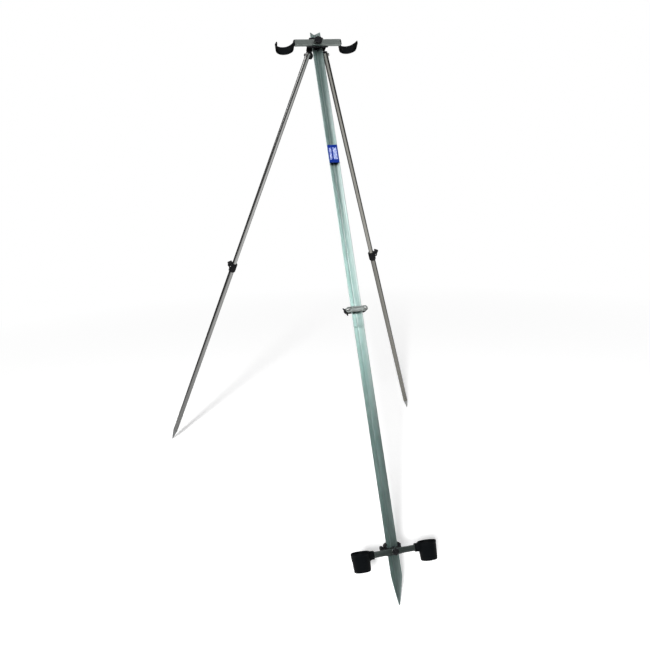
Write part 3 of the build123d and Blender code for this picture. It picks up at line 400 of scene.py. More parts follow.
def stage_floor():
    """Pale floor for soft shadows that fades into white, and that metal mirrors only near the object."""
    bpy.ops.mesh.primitive_circle_add(vertices=128, radius=FLOOR_RADIUS, fill_type="NGON")
    floor = bpy.context.object
    floor.name = "floor"
    look = Look("floor_paint", roughness=0.9)
    look.shader.inputs["Specular IOR Level"].default_value = 0.1
    look.shader.inputs["Emission Color"].default_value = WHITE
    look.shader.inputs["Emission Strength"].default_value = FLOOR_GLOW
    where = look.node("ShaderNodeTexCoord").outputs["Object"]
    reach = look.node("ShaderNodeVectorMath", {0: where}, operation="LENGTH").outputs["Value"]
    speckle = look.noise(where, scale=30, detail=4)
    look.colour(look.mix(look.remap(speckle, 0.0, 1.0), *FLOOR_PAINT))
    glow = look.node("ShaderNodeEmission", {"Color": WHITE, "Strength": 1.0})
    fade = look.remap(reach, 0.0, 1.0, *FLOOR_FADE)
    blend = look.node("ShaderNodeMixShader", {0: fade, 1: look.shader.outputs[0], 2: glow.outputs[0]})
    apart = look.node("ShaderNodeVectorMath", {0: where, 1: FLOOR_MIRROR_MIDDLE}, operation="DISTANCE")
    level = look.remap(apart.outputs["Value"], *FLOOR_MIRRORED, *FLOOR_MIRROR_FADE)
    mirrored = look.node("ShaderNodeEmission", {"Color": WHITE, "Strength": level})
    seen = look.node("ShaderNodeLightPath").outputs["Is Camera Ray"]
    either = look.node("ShaderNodeMixShader", {0: seen, 1: mirrored.outputs[0], 2: blend.outputs[0]})
    look.tree.links.new(either.outputs[0], look.tree.nodes["Material Output"].inputs["Surface"])
    floor.data.materials.append(look.material)


def studio_world():
    """White to look at, and banded light and grey to be reflected in the metal."""
    world = bpy.data.worlds.new("studio")
    bpy.context.scene.world = world
    world.use_nodes = True
    tree = world.node_tree
    background = tree.nodes["Background"]
    where = tree.nodes.new("ShaderNodeTexCoord")
    parts = tree.nodes.new("ShaderNodeSeparateXYZ")
    ramp = tree.nodes.new("ShaderNodeValToRGB")
    tree.links.new(where.outputs["Generated"], parts.inputs[0])
    tree.links.new(parts.outputs["Z"], ramp.inputs[0])
    for position, level in WORLD_LEVELS:
        stop = ramp.color_ramp.elements.new(position)
        stop.color = (level, level, level, 1)
    ramp.color_ramp.elements.remove(ramp.color_ramp.elements[0])
    ramp.color_ramp.elements.remove(ramp.color_ramp.elements[-1])
    rays = tree.nodes.new("ShaderNodeLightPath")
    choose = tree.nodes.new("ShaderNodeMix")
    choose.data_type = "RGBA"
    tree.links.new(rays.outputs["Is Camera Ray"], choose.inputs[0])
    tree.links.new(ramp.outputs[0], choose.inputs[6])
    choose.inputs[7].default_value = WHITE
    tree.links.new(choose.outputs[2], background.inputs["Color"])


def softbox(name, heading, elevation, distance, size, power, mirrored=True):
    """Area light seen only in gloss, or else only casting light.  Heading 0 is from -Y and 90 from +X."""
    flat = cos(radians(elevation))
    towards = Vector((sin(radians(heading)) * flat, -cos(radians(heading)) * flat, sin(radians(elevation))))
    data = bpy.data.lights.new(name, "AREA")
    data.shape = "RECTANGLE"
    data.size, data.size_y = size
    data.energy = power
    light = bpy.data.objects.new(name, data)
    bpy.context.scene.collection.objects.link(light)
    light.visible_glossy = mirrored
    light.visible_diffuse = not mirrored
    aim = (-towards).to_track_quat("-Z", "Y").to_matrix().to_4x4()
    light.matrix_world = Matrix.Translation(LIGHT_TARGET + towards * distance) @ aim


stage_floor()
studio_world()
softbox("key", heading=-21, elevation=23, distance=9.0, size=(0.8, 0.8), power=1450, mirrored=False)
softbox("front", heading=-8, elevation=34, distance=4.0, size=(2.6, 0.8), power=31)
softbox("left", heading=-82, elevation=24, distance=4.0, size=(1.8, 1.9), power=24)
softbox("right", heading=80, elevation=30, distance=4.0, size=(1.2, 2.0), power=12)
softbox("back", heading=170, elevation=38, distance=4.0, size=(2.4, 1.2), power=18)

# ---------------------------------------------------------------- shaping


def ring(radius, sides):
    """Points round a circle."""
    return [(radius * cos(tau * i / sides), radius * sin(tau * i / sides)) for i in range(sides)]


class Shape:
    """Faces collected in millimetres in a local frame."""

    def __init__(self):
        self.mesh = bmesh.new()

    def skin(self, rings, loop=False):
        """Quads between rings of points, with a face over each end, or joined end to end in a loop."""
        rows = [[self.mesh.verts.new(point) for point in outline] for outline in rings]
        count = len(rows[0])
        following = rows[1:] + rows[:1] if loop else rows[1:]
        for near, far in zip(rows, following):
            for i in range(count):
                j = (i + 1) % count
                self.mesh.faces.new((near[i], near[j], far[j], far[i]))
        if not loop:
            self.mesh.faces.new(list(reversed(rows[0])))
            self.mesh.faces.new(rows[-1])
        return self

    def lathe(self, profile, sides=64, loop=False):
        """Turned form about z from (radius, z) pairs."""
        return self.skin([[(x, y, z) for x, y in ring(r, sides)] for r, z in profile], loop)

    def take(self, other):
        """Adds another shape's faces to this one."""
        extra = bpy.data.meshes.new("extra")
        other.mesh.to_mesh(extra)
        other.mesh.free()
        self.mesh.from_mesh(extra)
        bpy.data.meshes.remove(extra)
        return self

    def turn(self, matrix):
        """Moves everything made so far."""
        bmesh.ops.transform(self.mesh, matrix=matrix, verts=self.mesh.verts)
        return self


def piece(name, shape, place, body, slot, replaces, bevel=0.0, crisp=32, material=None):
    """Turns a shape into an object that rides on a body and stands for CAD nodes."""
    bmesh.ops.recalc_face_normals(shape.mesh, faces=shape.mesh.faces)
    data = bpy.data.meshes.new(name)
    shape.mesh.to_mesh(data)
    shape.mesh.free()
    data.transform(place)
    data.materials.append(material or LOOKS[slot])
    data.shade_smooth()
    data.set_sharp_from_angle(angle=radians(crisp))
    obj = bpy.data.objects.new(name, data)
    bpy.context.scene.collection.objects.link(obj)
    if bevel:
        edge = obj.modifiers.new("edges", "BEVEL")
        edge.width = bevel * MM
        edge.segments = 3
        edge.angle_limit = radians(crisp)
        edge.harden_normals = True
    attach(obj, body)
    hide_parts(*replaces)


# Corners of a CAD mesh this near in metres are one, and faces that bend less than this are one face
WELD_DISTANCE = 2e-6
FLAT_ANGLE = radians(0.6)


def softened(node, width, material=None, crisp=30):
    """Copy of a CAD node with its sharp edges rounded off, in place of the node."""
    source = NODES[node]
    shape = Shape()
    shape.mesh.from_mesh(source.data)
    bmesh.ops.remove_doubles(shape.mesh, verts=shape.mesh.verts, dist=WELD_DISTANCE)
    edges = shape.mesh.edges
    bmesh.ops.dissolve_limit(shape.mesh, angle_limit=FLAT_ANGLE, verts=shape.mesh.verts, edges=edges)
    slot = next(row["material_slot"] for row in frame["record"]["subparts"] if row["node"] == node)
    piece(f"{node}_form", shape, Matrix(), source["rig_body"], slot, (node,), width, crisp, material)


# ---------------------------------------------------------------- carried-over CAD nodes

for row in frame["record"]["subparts"]:
    node = NODES[row["node"]]
    node.data.materials.clear()
    node.data.materials.append(LOOKS.get(row["material_slot"]) or LOOKS["zinc_steel"])
for name in SIDES:
    upper, lower = SIDE_TUBES[name]
    NODES[f"side_leg_upper_{name}"].data.materials[0] = upper
    NODES[f"side_leg_lower_{name}"].data.materials[0] = lower

# ---------------------------------------------------------------- outlines and small hardware


ROUND_END_STEPS = 12
CORNER_STEPS = 5


def stadium(length, height):
    """Round-ended slot outline."""
    r = height / 2
    points = []
    for side, start in ((1, -pi / 2), (-1, pi / 2)):
        for i in range(ROUND_END_STEPS + 1):
            angle = start + pi * i / ROUND_END_STEPS
            points.append((side * (length / 2 - r) + r * cos(angle), r * sin(angle)))
    return points


def rounded_box(width, height, radius):
    """Rectangle outline with rounded corners."""
    points = []
    for quarter, (sx, sy) in enumerate(((1, 1), (-1, 1), (-1, -1), (1, -1))):
        for i in range(CORNER_STEPS + 1):
            angle = pi / 2 * (quarter + i / CORNER_STEPS)
            x = sx * (width / 2 - radius) + radius * cos(angle)
            y = sy * (height / 2 - radius) + radius * sin(angle)
            points.append((x, y))
    return points


def grown(outline, amount):
    """Outline moved outward from its middle by amount."""
    points = []
    for x, y in outline:
        length = hypot(x, y)
        points.append((x * (1 + amount / length), y * (1 + amount / length)))
    return points


def hex_outline(flats):
    """Hexagon with its corners slightly cut, as three points at each."""
    corner = flats / 2 / cos(radians(30))
    points = []
    for k in range(6):
        for turn in (-6, 0, 6):
            angle = radians(60 * k + turn)
            r = min(flats / 2 / cos(radians(30 - abs(turn))), corner * 0.99)
            points.append((r * cos(angle), r * sin(angle)))
    return points


def hex_head(shape, flats, low, high):
    """Hexagon head with a round face under it and a chamfered top."""
    outline = hex_outline(flats)
    away = 1 if high > low else -1
    washer_face = ring(flats * 0.47, len(outline))
    # Outline, how much it is scaled, and its height
    steps = (
        (washer_face, 1.0, low),
        (washer_face, 1.0, low + away * 0.3),
        (outline, 1.0, low + away * 0.35),
        (outline, 1.0, high - away * 0.9),
        (outline, 0.86, high),
        (outline, 0.6, high - away * 0.05),
    )
    return shape.skin([[(x * scale, y * scale, z) for x, y in points] for points, scale, z in steps])


def threaded(shape, radius, low, high, pitch=1.25, sides=32):
    """Screw-thread look: a turned rod with a crest and root every pitch, and a chamfered end."""
    away = 1 if high > low else -1
    profile = [(radius * 0.95, low)]
    steps = int(abs(high - low) / pitch)
    for k in range(steps):
        base = low + away * pitch * k
        profile += [(radius, base + away * pitch * 0.35), (radius * 0.88, base + away * pitch * 0.85)]
    profile += [(radius * 0.9, high - away * 0.6), (radius * 0.72, high)]
    return shape.lathe(profile, sides)


# Radius and height of a domed screw head with a recess, as shares of its radius
PAN_PROFILE = (
    (0.94, 0.0),
    (1.0, 0.16),
    (0.94, 0.36),
    (0.72, 0.55),
    (0.42, 0.62),
    (0.34, 0.60),
    (0.26, 0.30),
    (0.05, 0.24),
)


def pan_screw(shape, radius):
    """Domed screw head with a recess, standing on z = 0."""
    return shape.lathe([(radius * across, radius * up) for across, up in PAN_PROFILE], sides=32)


def shifted(place, x=0.0, y=0.0, z=0.0):
    """The same frame, moved along its own axes by millimetres."""
    return place @ Matrix.Translation((x, y, z))


BAR_ALONG = 44.6
LEG = shifted(UPPER_BAR, y=BAR_ALONG)
MAIN_BODY = "head_and_upper_leg"
SLIDER = "slider"


def leg_ear_place(name):
    """Frame at a side leg's hinge: x down the main leg, z outward."""
    outward = side_leg_place(name).to_3x3().col[0].normalized()
    down = -UP_LEG
    return place_at(Vector(JOINTS[f"side_leg_{name}_fold"]["pos_m"]), down, outward.cross(down), outward)


# ---------------------------------------------------------------- hand knobs

KNOB_LOBES = 8
SLIDER_KNOB_LOBES = 6
POINTS_PER_LOBE = 14
LOBE_DEPTH = 0.13
LOBE_SHARPNESS = 1.6
# Height up the knob, radius there, and how much of the lobe depth shows
KNOB_PROFILE = (
    (0.00, 0.58, 0.0),
    (0.03, 0.62, 0.0),
    (0.24, 0.62, 0.0),
    (0.27, 0.66, 0.2),
    (0.29, 0.90, 0.8),
    (0.32, 0.97, 1.0),
    (0.36, 1.00, 1.0),
    (0.76, 1.00, 1.0),
    (0.85, 0.98, 1.0),
    (0.92, 0.93, 0.9),
    (0.97, 0.84, 0.6),
    (0.99, 0.74, 0.3),
    (0.985, 0.66, 0.0),
    (0.95, 0.62, 0.0),
    (0.92, 0.56, 0.0),
    (0.92, 0.20, 0.0),
    (0.95, 0.14, 0.0),
    (0.955, 0.03, 0.0),
)


def knob(name, place, radius, height, body, replaces, lobes=KNOB_LOBES):
    """Lobed hand knob standing on z = 0, with a stepped foot and a dished face."""
    rings = []
    for level, share, lobe in KNOB_PROFILE:
        outline = []
        for i in range(lobes * POINTS_PER_LOBE):
            angle = tau * i / (lobes * POINTS_PER_LOBE)
            scallop = (0.5 - 0.5 * cos(lobes * angle)) ** LOBE_SHARPNESS
            r = radius * share * (1 - LOBE_DEPTH * lobe * scallop)
            outline.append((r * cos(angle), r * sin(angle), level * height))
        rings.append(outline)
    piece(name, Shape().skin(rings), place, body, "knob_moulding", replaces, crisp=50)


# Distances along each crossbar's bolt, from the joint outwards
BAR_FACE = 17.1
KNOB_FOOT = 18.4
WASHER_RADIUS = 9.0
WASHER_DEPTH = 1.2
# The sliding bracket's screw: its place from the lower bolt, and distances out from the middle line
SLIDER_SCREW_UP = 11.0
SLIDER_SCREW_FRONT = -9.0
SLIDER_SCREW_END = 15.6
SIDE_KNOB_FOOT = 26.5


def washer(name, place, radius, bore, low, depth, body, node):
    """Flat washer with rolled edges, standing on z = low."""
    roll = 0.25
    profile = [
        (bore, low + roll),
        (bore + roll, low),
        (radius - roll, low),
        (radius, low + roll),
        (radius, low + depth - roll),
        (radius - roll, low + depth),
        (bore + roll, low + depth),
        (bore, low + depth - roll),
    ]
    piece(name, Shape().lathe(profile, sides=48, loop=True), place, body, "zinc_steel", (node,))


for bar, place, radius, height in (("upper", UPPER_BAR, 13.5, 15.0), ("lower", LOWER_BAR, 10.5, 14.0)):
    knob(f"{bar}_knob_grip", shifted(place, z=KNOB_FOOT), radius, height, f"{bar}_bar_knob", (f"{bar}_knob",))
for bar, place, bore in (("upper", UPPER_BAR, 4.05), ("lower", LOWER_BAR, 3.05)):
    node = f"{bar}_washer"
    washer(f"{bar}_washer_disc", place, WASHER_RADIUS, bore, BAR_FACE, WASHER_DEPTH, f"{bar}_bar", node)

# The thumbscrew's frame has z to the left, and its origin on the main leg's middle line
THUMBSCREW = shifted(LOWER_BAR, y=SLIDER_SCREW_UP, z=SLIDER_SCREW_FRONT) @ Matrix.Rotation(-pi / 2, 4, "Y")
THUMBSCREW_BODY = "slider_thumbscrew"
side_knob_place = shifted(THUMBSCREW, z=SIDE_KNOB_FOOT)
knob("slider_knob_grip", side_knob_place, 8.0, 11.0, THUMBSCREW_BODY, ("slider_knob",), SLIDER_KNOB_LOBES)
slider_thread = threaded(Shape(), 3.0, SIDE_KNOB_FOOT + 8.0, SLIDER_SCREW_END, 1.0)
piece("slider_screw_thread", slider_thread, THUMBSCREW, THUMBSCREW_BODY, "zinc_steel", ("slider_screw",))

# ---------------------------------------------------------------- hexagon bolts and nuts


def hex_bolt(name, place, flats, face, head_top, radius, end, body, node):
    """Hexagon bolt: a head from face to head_top, and a threaded shank that runs to end."""
    shape = hex_head(Shape(), flats, face, head_top)
    threaded(shape, radius, face, end)
    piece(name, shape, place, body, "zinc_steel", (node,), crisp=28)


M8_FLATS = 13.0
M8_RADIUS = 4.0
M6_FLATS = 10.0
M6_RADIUS = 3.0
BAR_BOLT_END = 27.4
# Distances outward from the joint to the face under each bolt's head, and to the head's top
HEAD_BOLT_HEAD = (-26.0, -31.3)
CROSSBAR_BOLT_HEAD = (2.0, -2.0)
bolt = (M8_FLATS, *HEAD_BOLT_HEAD, M8_RADIUS, BAR_BOLT_END)
hex_bolt("head_bolt_form", UPPER_BAR, *bolt, MAIN_BODY, "head_bolt")
bolt = (M6_FLATS, *CROSSBAR_BOLT_HEAD, M6_RADIUS, BAR_BOLT_END)
hex_bolt("crossbar_bolt_form", LOWER_BAR, *bolt, SLIDER, "crossbar_bolt")

# Distances outward from the middle of a side leg's top end, along its hinge bolt
HINGE_HEAD_TOP = 12.6
HINGE_HEAD_FACE = 8.6
EAR_OUTER = -9.3
EAR_INNER = -14.5
HINGE_NUT_END = -19.5
HINGE_BOLT_END = -20.5
for name in SIDES:
    ear = leg_ear_place(name)
    bolt = (M6_FLATS, HINGE_HEAD_FACE, HINGE_HEAD_TOP, M6_RADIUS, HINGE_BOLT_END)
    hex_bolt(f"leg_hinge_bolt_{name}", ear, *bolt, MAIN_BODY, "leg_hinge_bolts")
    nut = hex_head(Shape(), M6_FLATS, EAR_INNER, HINGE_NUT_END)
    piece(f"leg_hinge_nut_{name}", nut, ear, MAIN_BODY, "zinc_steel", ("leg_hinge_nuts",), crisp=28)
    washer(f"leg_hinge_washer_{name}", ear, 7.0, M6_RADIUS, EAR_OUTER, 0.7, MAIN_BODY, "leg_hinge_washers")

# ---------------------------------------------------------------- rod cups

ROD_CUP_SPACING = 109.5
ROD_CUP_MIDDLE = 29.0
ROD_CUP_BACK = -39.0
ROD_CUP_TIP = 15.0
ROD_CUP_HALF_BAND = 14.0
ROD_CUP_TIP_HALF_BAND = 4.5
ROD_CUP_WALL = 4.0
BAR_MIDDLE = 11.1
STRAP_STEPS = 60
# Ribs round the cup's back: places across the band, depth of the root in the wall, and half widths
ROD_RIB_OFFSETS = (-9.0, 0.0, 9.0)
ROD_RIB_ROOT = 0.5
ROD_RIB_HEIGHT = 0.9
ROD_RIB_HALF_FOOT = 0.8
ROD_RIB_HALF_CREST = 0.4
# The seat and plug: distance towards the crossbar, and shares of the seat's height and depth
ROD_SEAT = 31.0
ROD_SEAT_STEPS = (
    (-3.4, 0.84, 0.84),
    (-2.0, 0.98, 0.98),
    (-0.4, 1.0, 1.0),
    (-0.1, 0.98, 0.97),
    (-0.05, 0.84, 0.75),
    (15.5, 0.83, 0.74),
    (16.0, 0.78, 0.68),
)
UP = Vector((0, 1, 0))


def cup_path():
    """Middle line of the U strap from tip to tip: points in x and z, and the distance from the nearer tip."""
    arc_z = ROD_CUP_BACK + ROD_CUP_WALL / 2 + ROD_CUP_MIDDLE
    arm = ROD_CUP_TIP - arc_z
    total = 2 * arm + pi * ROD_CUP_MIDDLE
    points = []
    for i in range(STRAP_STEPS + 1):
        run = total * i / STRAP_STEPS
        side = -1 if run < total / 2 else 1
        from_tip = min(run, total - run)
        if from_tip < arm:
            points.append((side * ROD_CUP_MIDDLE, ROD_CUP_TIP - from_tip, from_tip))
        else:
            angle = pi + (run - arm) / ROD_CUP_MIDDLE
            points.append((ROD_CUP_MIDDLE * cos(angle), arc_z + ROD_CUP_MIDDLE * sin(angle), from_tip))
    return points, arm, arc_z


def strap(points, arm):
    """Strap swept along the U, narrow and rounded at its tips."""
    rings = []
    for i, (x, z, from_tip) in enumerate(points):
        ahead = points[min(i + 1, STRAP_STEPS)]
        behind = points[max(i - 1, 0)]
        along = Vector((ahead[0] - behind[0], 0, ahead[1] - behind[1])).normalized()
        across = Vector((-along.z, 0, along.x))
        share = min(1.0, from_tip / (arm + 10.0))
        blunt = min(1.0, 0.4 + from_tip / 2.5)
        half_band = ROD_CUP_TIP_HALF_BAND + (ROD_CUP_HALF_BAND - ROD_CUP_TIP_HALF_BAND) * share
        half_band *= 0.7 + 0.3 * blunt
        half_wall = ROD_CUP_WALL / 2 * (0.7 + 0.3 * share) * blunt
        section = rounded_box(2 * half_band, 2 * half_wall, half_wall * 0.85)
        rings.append([Vector((x, 0, z)) + Vector((0, u, 0)) + across * v for u, v in section])
    return Shape().skin(rings)


def bar_plug(shape, side, seat, outline, steps, middle):
    """Moulded block that grows from a cup towards its crossbar or into the bar's end."""
    rings = []
    for reach, tall, deep in steps:
        rings.append([(-side * (seat + reach), u * tall, middle + v * deep) for u, v in outline])
    return shape.skin(rings)


def rod_cup(name, side):
    """U strap with stiffening ribs round its back, and a seat and plug at the crossbar."""
    points, arm, arc_z = cup_path()
    place = shifted(UPPER_BAR, x=side * ROD_CUP_SPACING)
    node = (f"rod_cup_{name}",)
    piece(f"rod_cup_strap_{name}", strap(points, arm), place, "upper_bar", "cup_moulding", node, crisp=50)
    seat = bar_plug(Shape(), side, ROD_SEAT, rounded_box(19.4, 11.4, 2.2), ROD_SEAT_STEPS, BAR_MIDDLE)
    piece(f"rod_cup_seat_{name}", seat, place, "upper_bar", "cup_moulding", node, crisp=40)
    ribs = Shape()
    for offset in ROD_RIB_OFFSETS:
        rings = []
        for x, z, from_tip in points:
            if from_tip < arm + 3:
                continue
            out = Vector((x, 0, z - arc_z)).normalized()
            base = Vector((x, offset, z)) + out * (ROD_CUP_WALL / 2 - ROD_RIB_ROOT)
            crest = base + out * ROD_RIB_HEIGHT
            foot_edge = UP * ROD_RIB_HALF_FOOT
            crest_edge = UP * ROD_RIB_HALF_CREST
            rings.append([base - foot_edge, crest - crest_edge, crest + crest_edge, base + foot_edge])
        ribs.skin(rings)
    piece(f"rod_cup_ribs_{name}", ribs, place, "upper_bar", "cup_moulding", node, crisp=60)


for name, side in SIDES.items():
    rod_cup(name, side)

# ---------------------------------------------------------------- butt cups

BUTT_CUP_SPACING = 104.3
BUTT_BASE = -42.0
BUTT_MIDDLE = 12.1
BUTT_RIM_RADIUS = 28.5
BUTT_BASE_RADIUS = 25.0
BUTT_HEIGHT = 56.0
BUTT_SEAT = BUTT_CUP_SPACING - 64.0
# Radius and height, from the recess under the base round the outside and down the bore to its floor
BUTT_PROFILE = (
    (12.0, 0.8),
    (13.0, 0.0),
    (21.4, 0.0),
    (23.4, 0.6),
    (24.6, 1.9),
    (25.2, 4.0),
    (27.5, 45.2),
    (27.8, 49.4),
    (28.35, 50.0),
    (28.5, 50.8),
    (28.5, 54.8),
    (28.2, 55.6),
    (27.5, 56.0),
    (26.6, 55.8),
    (25.9, 55.2),
    (25.5, 53.0),
    (21.8, 36.8),
    (21.5, 36.0),
    (21.5, 6.0),
    (20.9, 4.6),
    (19.5, 4.0),
    (4.0, 3.6),
    (3.6, 3.0),
    (0.4, 3.0),
)
# Distance towards the crossbar, and shares of the block's height and depth
BUTT_BOSS_STEPS = (
    (-14.2, 1.2, 1.2),
    (-11.8, 1.08, 1.08),
    (-10.0, 1.0, 1.0),
    (-1.0, 1.0, 1.0),
    (-0.2, 0.97, 0.96),
    (0.0, 0.90, 0.88),
)
BUTT_PLUG_STEPS = ((-2.0, 1.0, 1.0), (15.4, 1.0, 1.0), (16.0, 0.9, 0.9))
# Height on the cup, and how far the rib stands out there
RIB_STEPS = ((13.6, 0.2), (12.6, 1.0), (10.8, 1.5), (-5.0, 1.5), (-7.6, 1.1), (-9.0, 0.1))
RIB_HALF_FOOT = 1.9
RIB_HALF_CREST = 1.0
RIB_ROOT = -1.4


def butt_cup(name, side):
    """Tapered cup with a beaded rim, a stepped bore, a boss for the crossbar and ribs on its other sides."""
    node = (f"butt_cup_{name}",)
    place = shifted(LOWER_BAR, x=side * BUTT_CUP_SPACING)
    upright = Matrix.Translation((0, BUTT_BASE, BUTT_MIDDLE)) @ Matrix.Rotation(-pi / 2, 4, "X")
    shape = Shape().lathe(BUTT_PROFILE, sides=96).turn(upright)
    piece(f"butt_cup_body_{name}", shape, place, "lower_bar", "butt_moulding", node, crisp=50)
    boss = bar_plug(Shape(), side, BUTT_SEAT, rounded_box(24.4, 14.6, 2.4), BUTT_BOSS_STEPS, BUTT_MIDDLE)
    bar_plug(boss, side, BUTT_SEAT, rounded_box(13.6, 6.6, 0.8), BUTT_PLUG_STEPS, BUTT_MIDDLE)
    piece(f"butt_cup_boss_{name}", boss, place, "lower_bar", "butt_moulding", node, crisp=40)
    ribs = Shape()
    slope = (BUTT_RIM_RADIUS - BUTT_BASE_RADIUS) / BUTT_HEIGHT
    for heading in (0, 90, 180, 270):
        if heading == 90 * (2 + side) % 360:
            continue
        turn = Matrix.Rotation(radians(heading), 4, "Y")
        rings = []
        for y, proud in RIB_STEPS:
            surface = BUTT_BASE_RADIUS + slope * (y - BUTT_BASE)
            corners = (
                (-RIB_HALF_FOOT, RIB_ROOT),
                (-RIB_HALF_CREST, proud),
                (RIB_HALF_CREST, proud),
                (RIB_HALF_FOOT, RIB_ROOT),
            )
            rings.append([turn @ Vector((x, y, surface + rise - 0.2)) for x, rise in corners])
        ribs.skin(rings)
    ribs.turn(Matrix.Translation((0, 0, BUTT_MIDDLE)))
    piece(f"butt_cup_ribs_{name}", ribs, place, "lower_bar", "butt_moulding", node, bevel=0.3, crisp=40)


for name, side in SIDES.items():
    butt_cup(name, side)

# ---------------------------------------------------------------- crossbars and their cup screws

softened("upper_crossbar", 0.35)
# The lower crossbar wears the darkened copy of the crossbar metal, which is painted shade
softened("lower_crossbar", 0.35, LOOKS["lower_crossbar_shaded_metal"])

CUP_SCREW_HEAD_RADIUS = 2.9
CUP_SCREW_RADIUS = 1.5
CUP_SCREW_REACH = 7.8
ROD_CUP_SCREW_SPACING = 70.5
BUTT_CUP_SCREW_SPACING = 56.0
UPPER_BAR_BACK = 5.1
LOWER_BAR_BACK = 7.1


def cup_screw(name, place, x, face, body, node):
    """Screw in the back of a crossbar, with its shank in the cup's plug."""
    shape = pan_screw(Shape(), CUP_SCREW_HEAD_RADIUS)
    threaded(shape, CUP_SCREW_RADIUS, -0.1, -CUP_SCREW_REACH, 0.8, sides=20)
    turned = shifted(place, x=x, z=face) @ Matrix.Rotation(pi, 4, "Y")
    piece(name, shape, turned, body, "zinc_steel", (node,), crisp=35)


for name, side in SIDES.items():
    x = side * ROD_CUP_SCREW_SPACING
    cup_screw(f"rod_cup_screw_{name}", UPPER_BAR, x, UPPER_BAR_BACK, "upper_bar", "rod_cup_screws")
    x = side * BUTT_CUP_SCREW_SPACING
    cup_screw(f"butt_cup_screw_{name}", LOWER_BAR, x, LOWER_BAR_BACK, "lower_bar", "butt_cup_screws")

# ---------------------------------------------------------------- main leg, head and badge

softened("main_leg_upper", 0.35, crisp=35)
softened("main_leg_lower", 0.35, crisp=35)
softened("head_bracket", 0.8, crisp=40)
softened("head_plate", 0.5, crisp=40)
softened("badge", 0.25, crisp=40)
softened("slider_bracket", 0.8, crisp=40)
softened("clamp_back_saddle", 0.9, crisp=40)

# ---------------------------------------------------------------- clamp

CLAMP_ALONG = 957.0
CLAMP = shifted(LEG, y=-CLAMP_ALONG)
CLAMP_HALF_SPACING = 28.5
CLAMP_PLATE_LENGTH = 73.0
CLAMP_PLATE_HEIGHT = 18.0
SADDLE_BACK = -25.1
# How far in from the plate's edge, and how far in front of the leg's frame
CLAMP_PLATE_PROFILE = (
    (0.5, 0.64),
    (0.0, 1.1),
    (0.0, 2.9),
    (0.25, 3.4),
    (0.8, 3.64),
    (2.0, 3.64),
    (2.4, 3.55),
    (2.8, 3.35),
    (3.2, 3.25),
)
# Radius, and distance in front of the leg's frame
CLAMP_BOLT_HEAD = ((5.5, 2.9), (5.5, 4.2), (5.3, 5.1), (4.6, 6.0), (3.4, 6.7), (1.9, 7.0), (0.3, 7.04))
# Radius and height
WING_HUB = (
    (6.2, 0.0),
    (6.5, 0.5),
    (6.4, 2.2),
    (5.6, 5.4),
    (5.0, 6.0),
    (3.6, 6.0),
    (3.05, 5.4),
    (3.05, 0.4),
    (3.4, 0.0),
)
# Height, the wing's nearest and furthest reach from the bolt there, and its thickness
WING_STEPS = (
    (0.8, 4.2, 8.2, 4.0),
    (2.4, 4.2, 9.6, 4.0),
    (4.6, 4.4, 12.0, 3.9),
    (7.0, 5.6, 14.0, 3.7),
    (9.4, 6.8, 14.9, 3.5),
    (11.2, 7.8, 14.6, 3.1),
    (12.2, 8.8, 13.8, 2.4),
)
# Degrees that each wing is turned from the clamp's length
WING_TURNS = (62, 242)


def clamp_plate():
    """Pressed plate with round ends and a raised rim."""
    rings = []
    for inset, z in CLAMP_PLATE_PROFILE:
        outline = stadium(CLAMP_PLATE_LENGTH - 2 * inset, CLAMP_PLATE_HEIGHT - 2 * inset)
        rings.append([(x, y, z) for x, y in outline])
    node = ("clamp_front_plate",)
    piece("clamp_plate_form", Shape().skin(rings), CLAMP, MAIN_BODY, "plate_steel", node, crisp=40)


def clamp_bolt(name, side):
    """Domed bolt with a threaded shank that ends behind the wing nut."""
    shape = Shape().lathe(CLAMP_BOLT_HEAD, sides=48)
    threaded(shape, 3.0, 2.9, SADDLE_BACK - 9.0, 1.0)
    place = shifted(CLAMP, x=side * CLAMP_HALF_SPACING)
    piece(f"clamp_bolt_{name}", shape, place, MAIN_BODY, "zinc_steel", ("clamp_bolts",), crisp=35)


def wing_nut(name, side):
    """Wing nut: a tapered hub and two rounded wings that lean away from each other."""
    shape = Shape()
    shape.lathe(WING_HUB, sides=40, loop=True)
    for turn in WING_TURNS:
        rings = []
        for level, inner, outer, thick in WING_STEPS:
            middle = (inner + outer) / 2
            section = rounded_box(outer - inner, thick, thick * 0.45)
            rings.append([(middle + u, v, level) for u, v in section])
        wing = Shape().skin(rings).turn(Matrix.Rotation(radians(-side * turn), 4, "Z"))
        shape.take(wing)
    shape.turn(Matrix.Rotation(pi, 4, "X"))
    place = shifted(CLAMP, x=side * CLAMP_HALF_SPACING, z=SADDLE_BACK)
    node = (f"clamp_wing_nut_{name}",)
    piece(f"clamp_wing_form_{name}", shape, place, f"clamp_nut_{name}", "knob_moulding", node, crisp=40)


clamp_plate()
for name, side in SIDES.items():
    clamp_bolt(name, side)
    wing_nut(name, side)

# ---------------------------------------------------------------- side legs

SIDE_UPPER_RADIUS = 8.5
SIDE_LOWER_RADIUS = 10.0
TUBE_WALL = 1.2
TUBE_TOP = -10.0
CAP_TOP = -11.2
COLLAR_TOP = 863.0
UPPER_TUBE_END = 981.0
LOWER_TUBE_TOP = 869.0
SPIKE_LENGTH = 58.0
TIP_RADIUS = 1.2
LEVER_OUT = 17.0
LEVER_DOWN = 872.0


def tube_profile(radius, low, high):
    """Closed profile of a tube with its end edges broken."""
    inner = radius - TUBE_WALL
    edge = 0.3
    return [
        (inner, low + edge),
        (inner + edge, low),
        (radius - edge, low),
        (radius, low + edge),
        (radius, high - edge),
        (radius - edge, high),
        (inner + edge, high),
        (inner, high - edge),
    ]


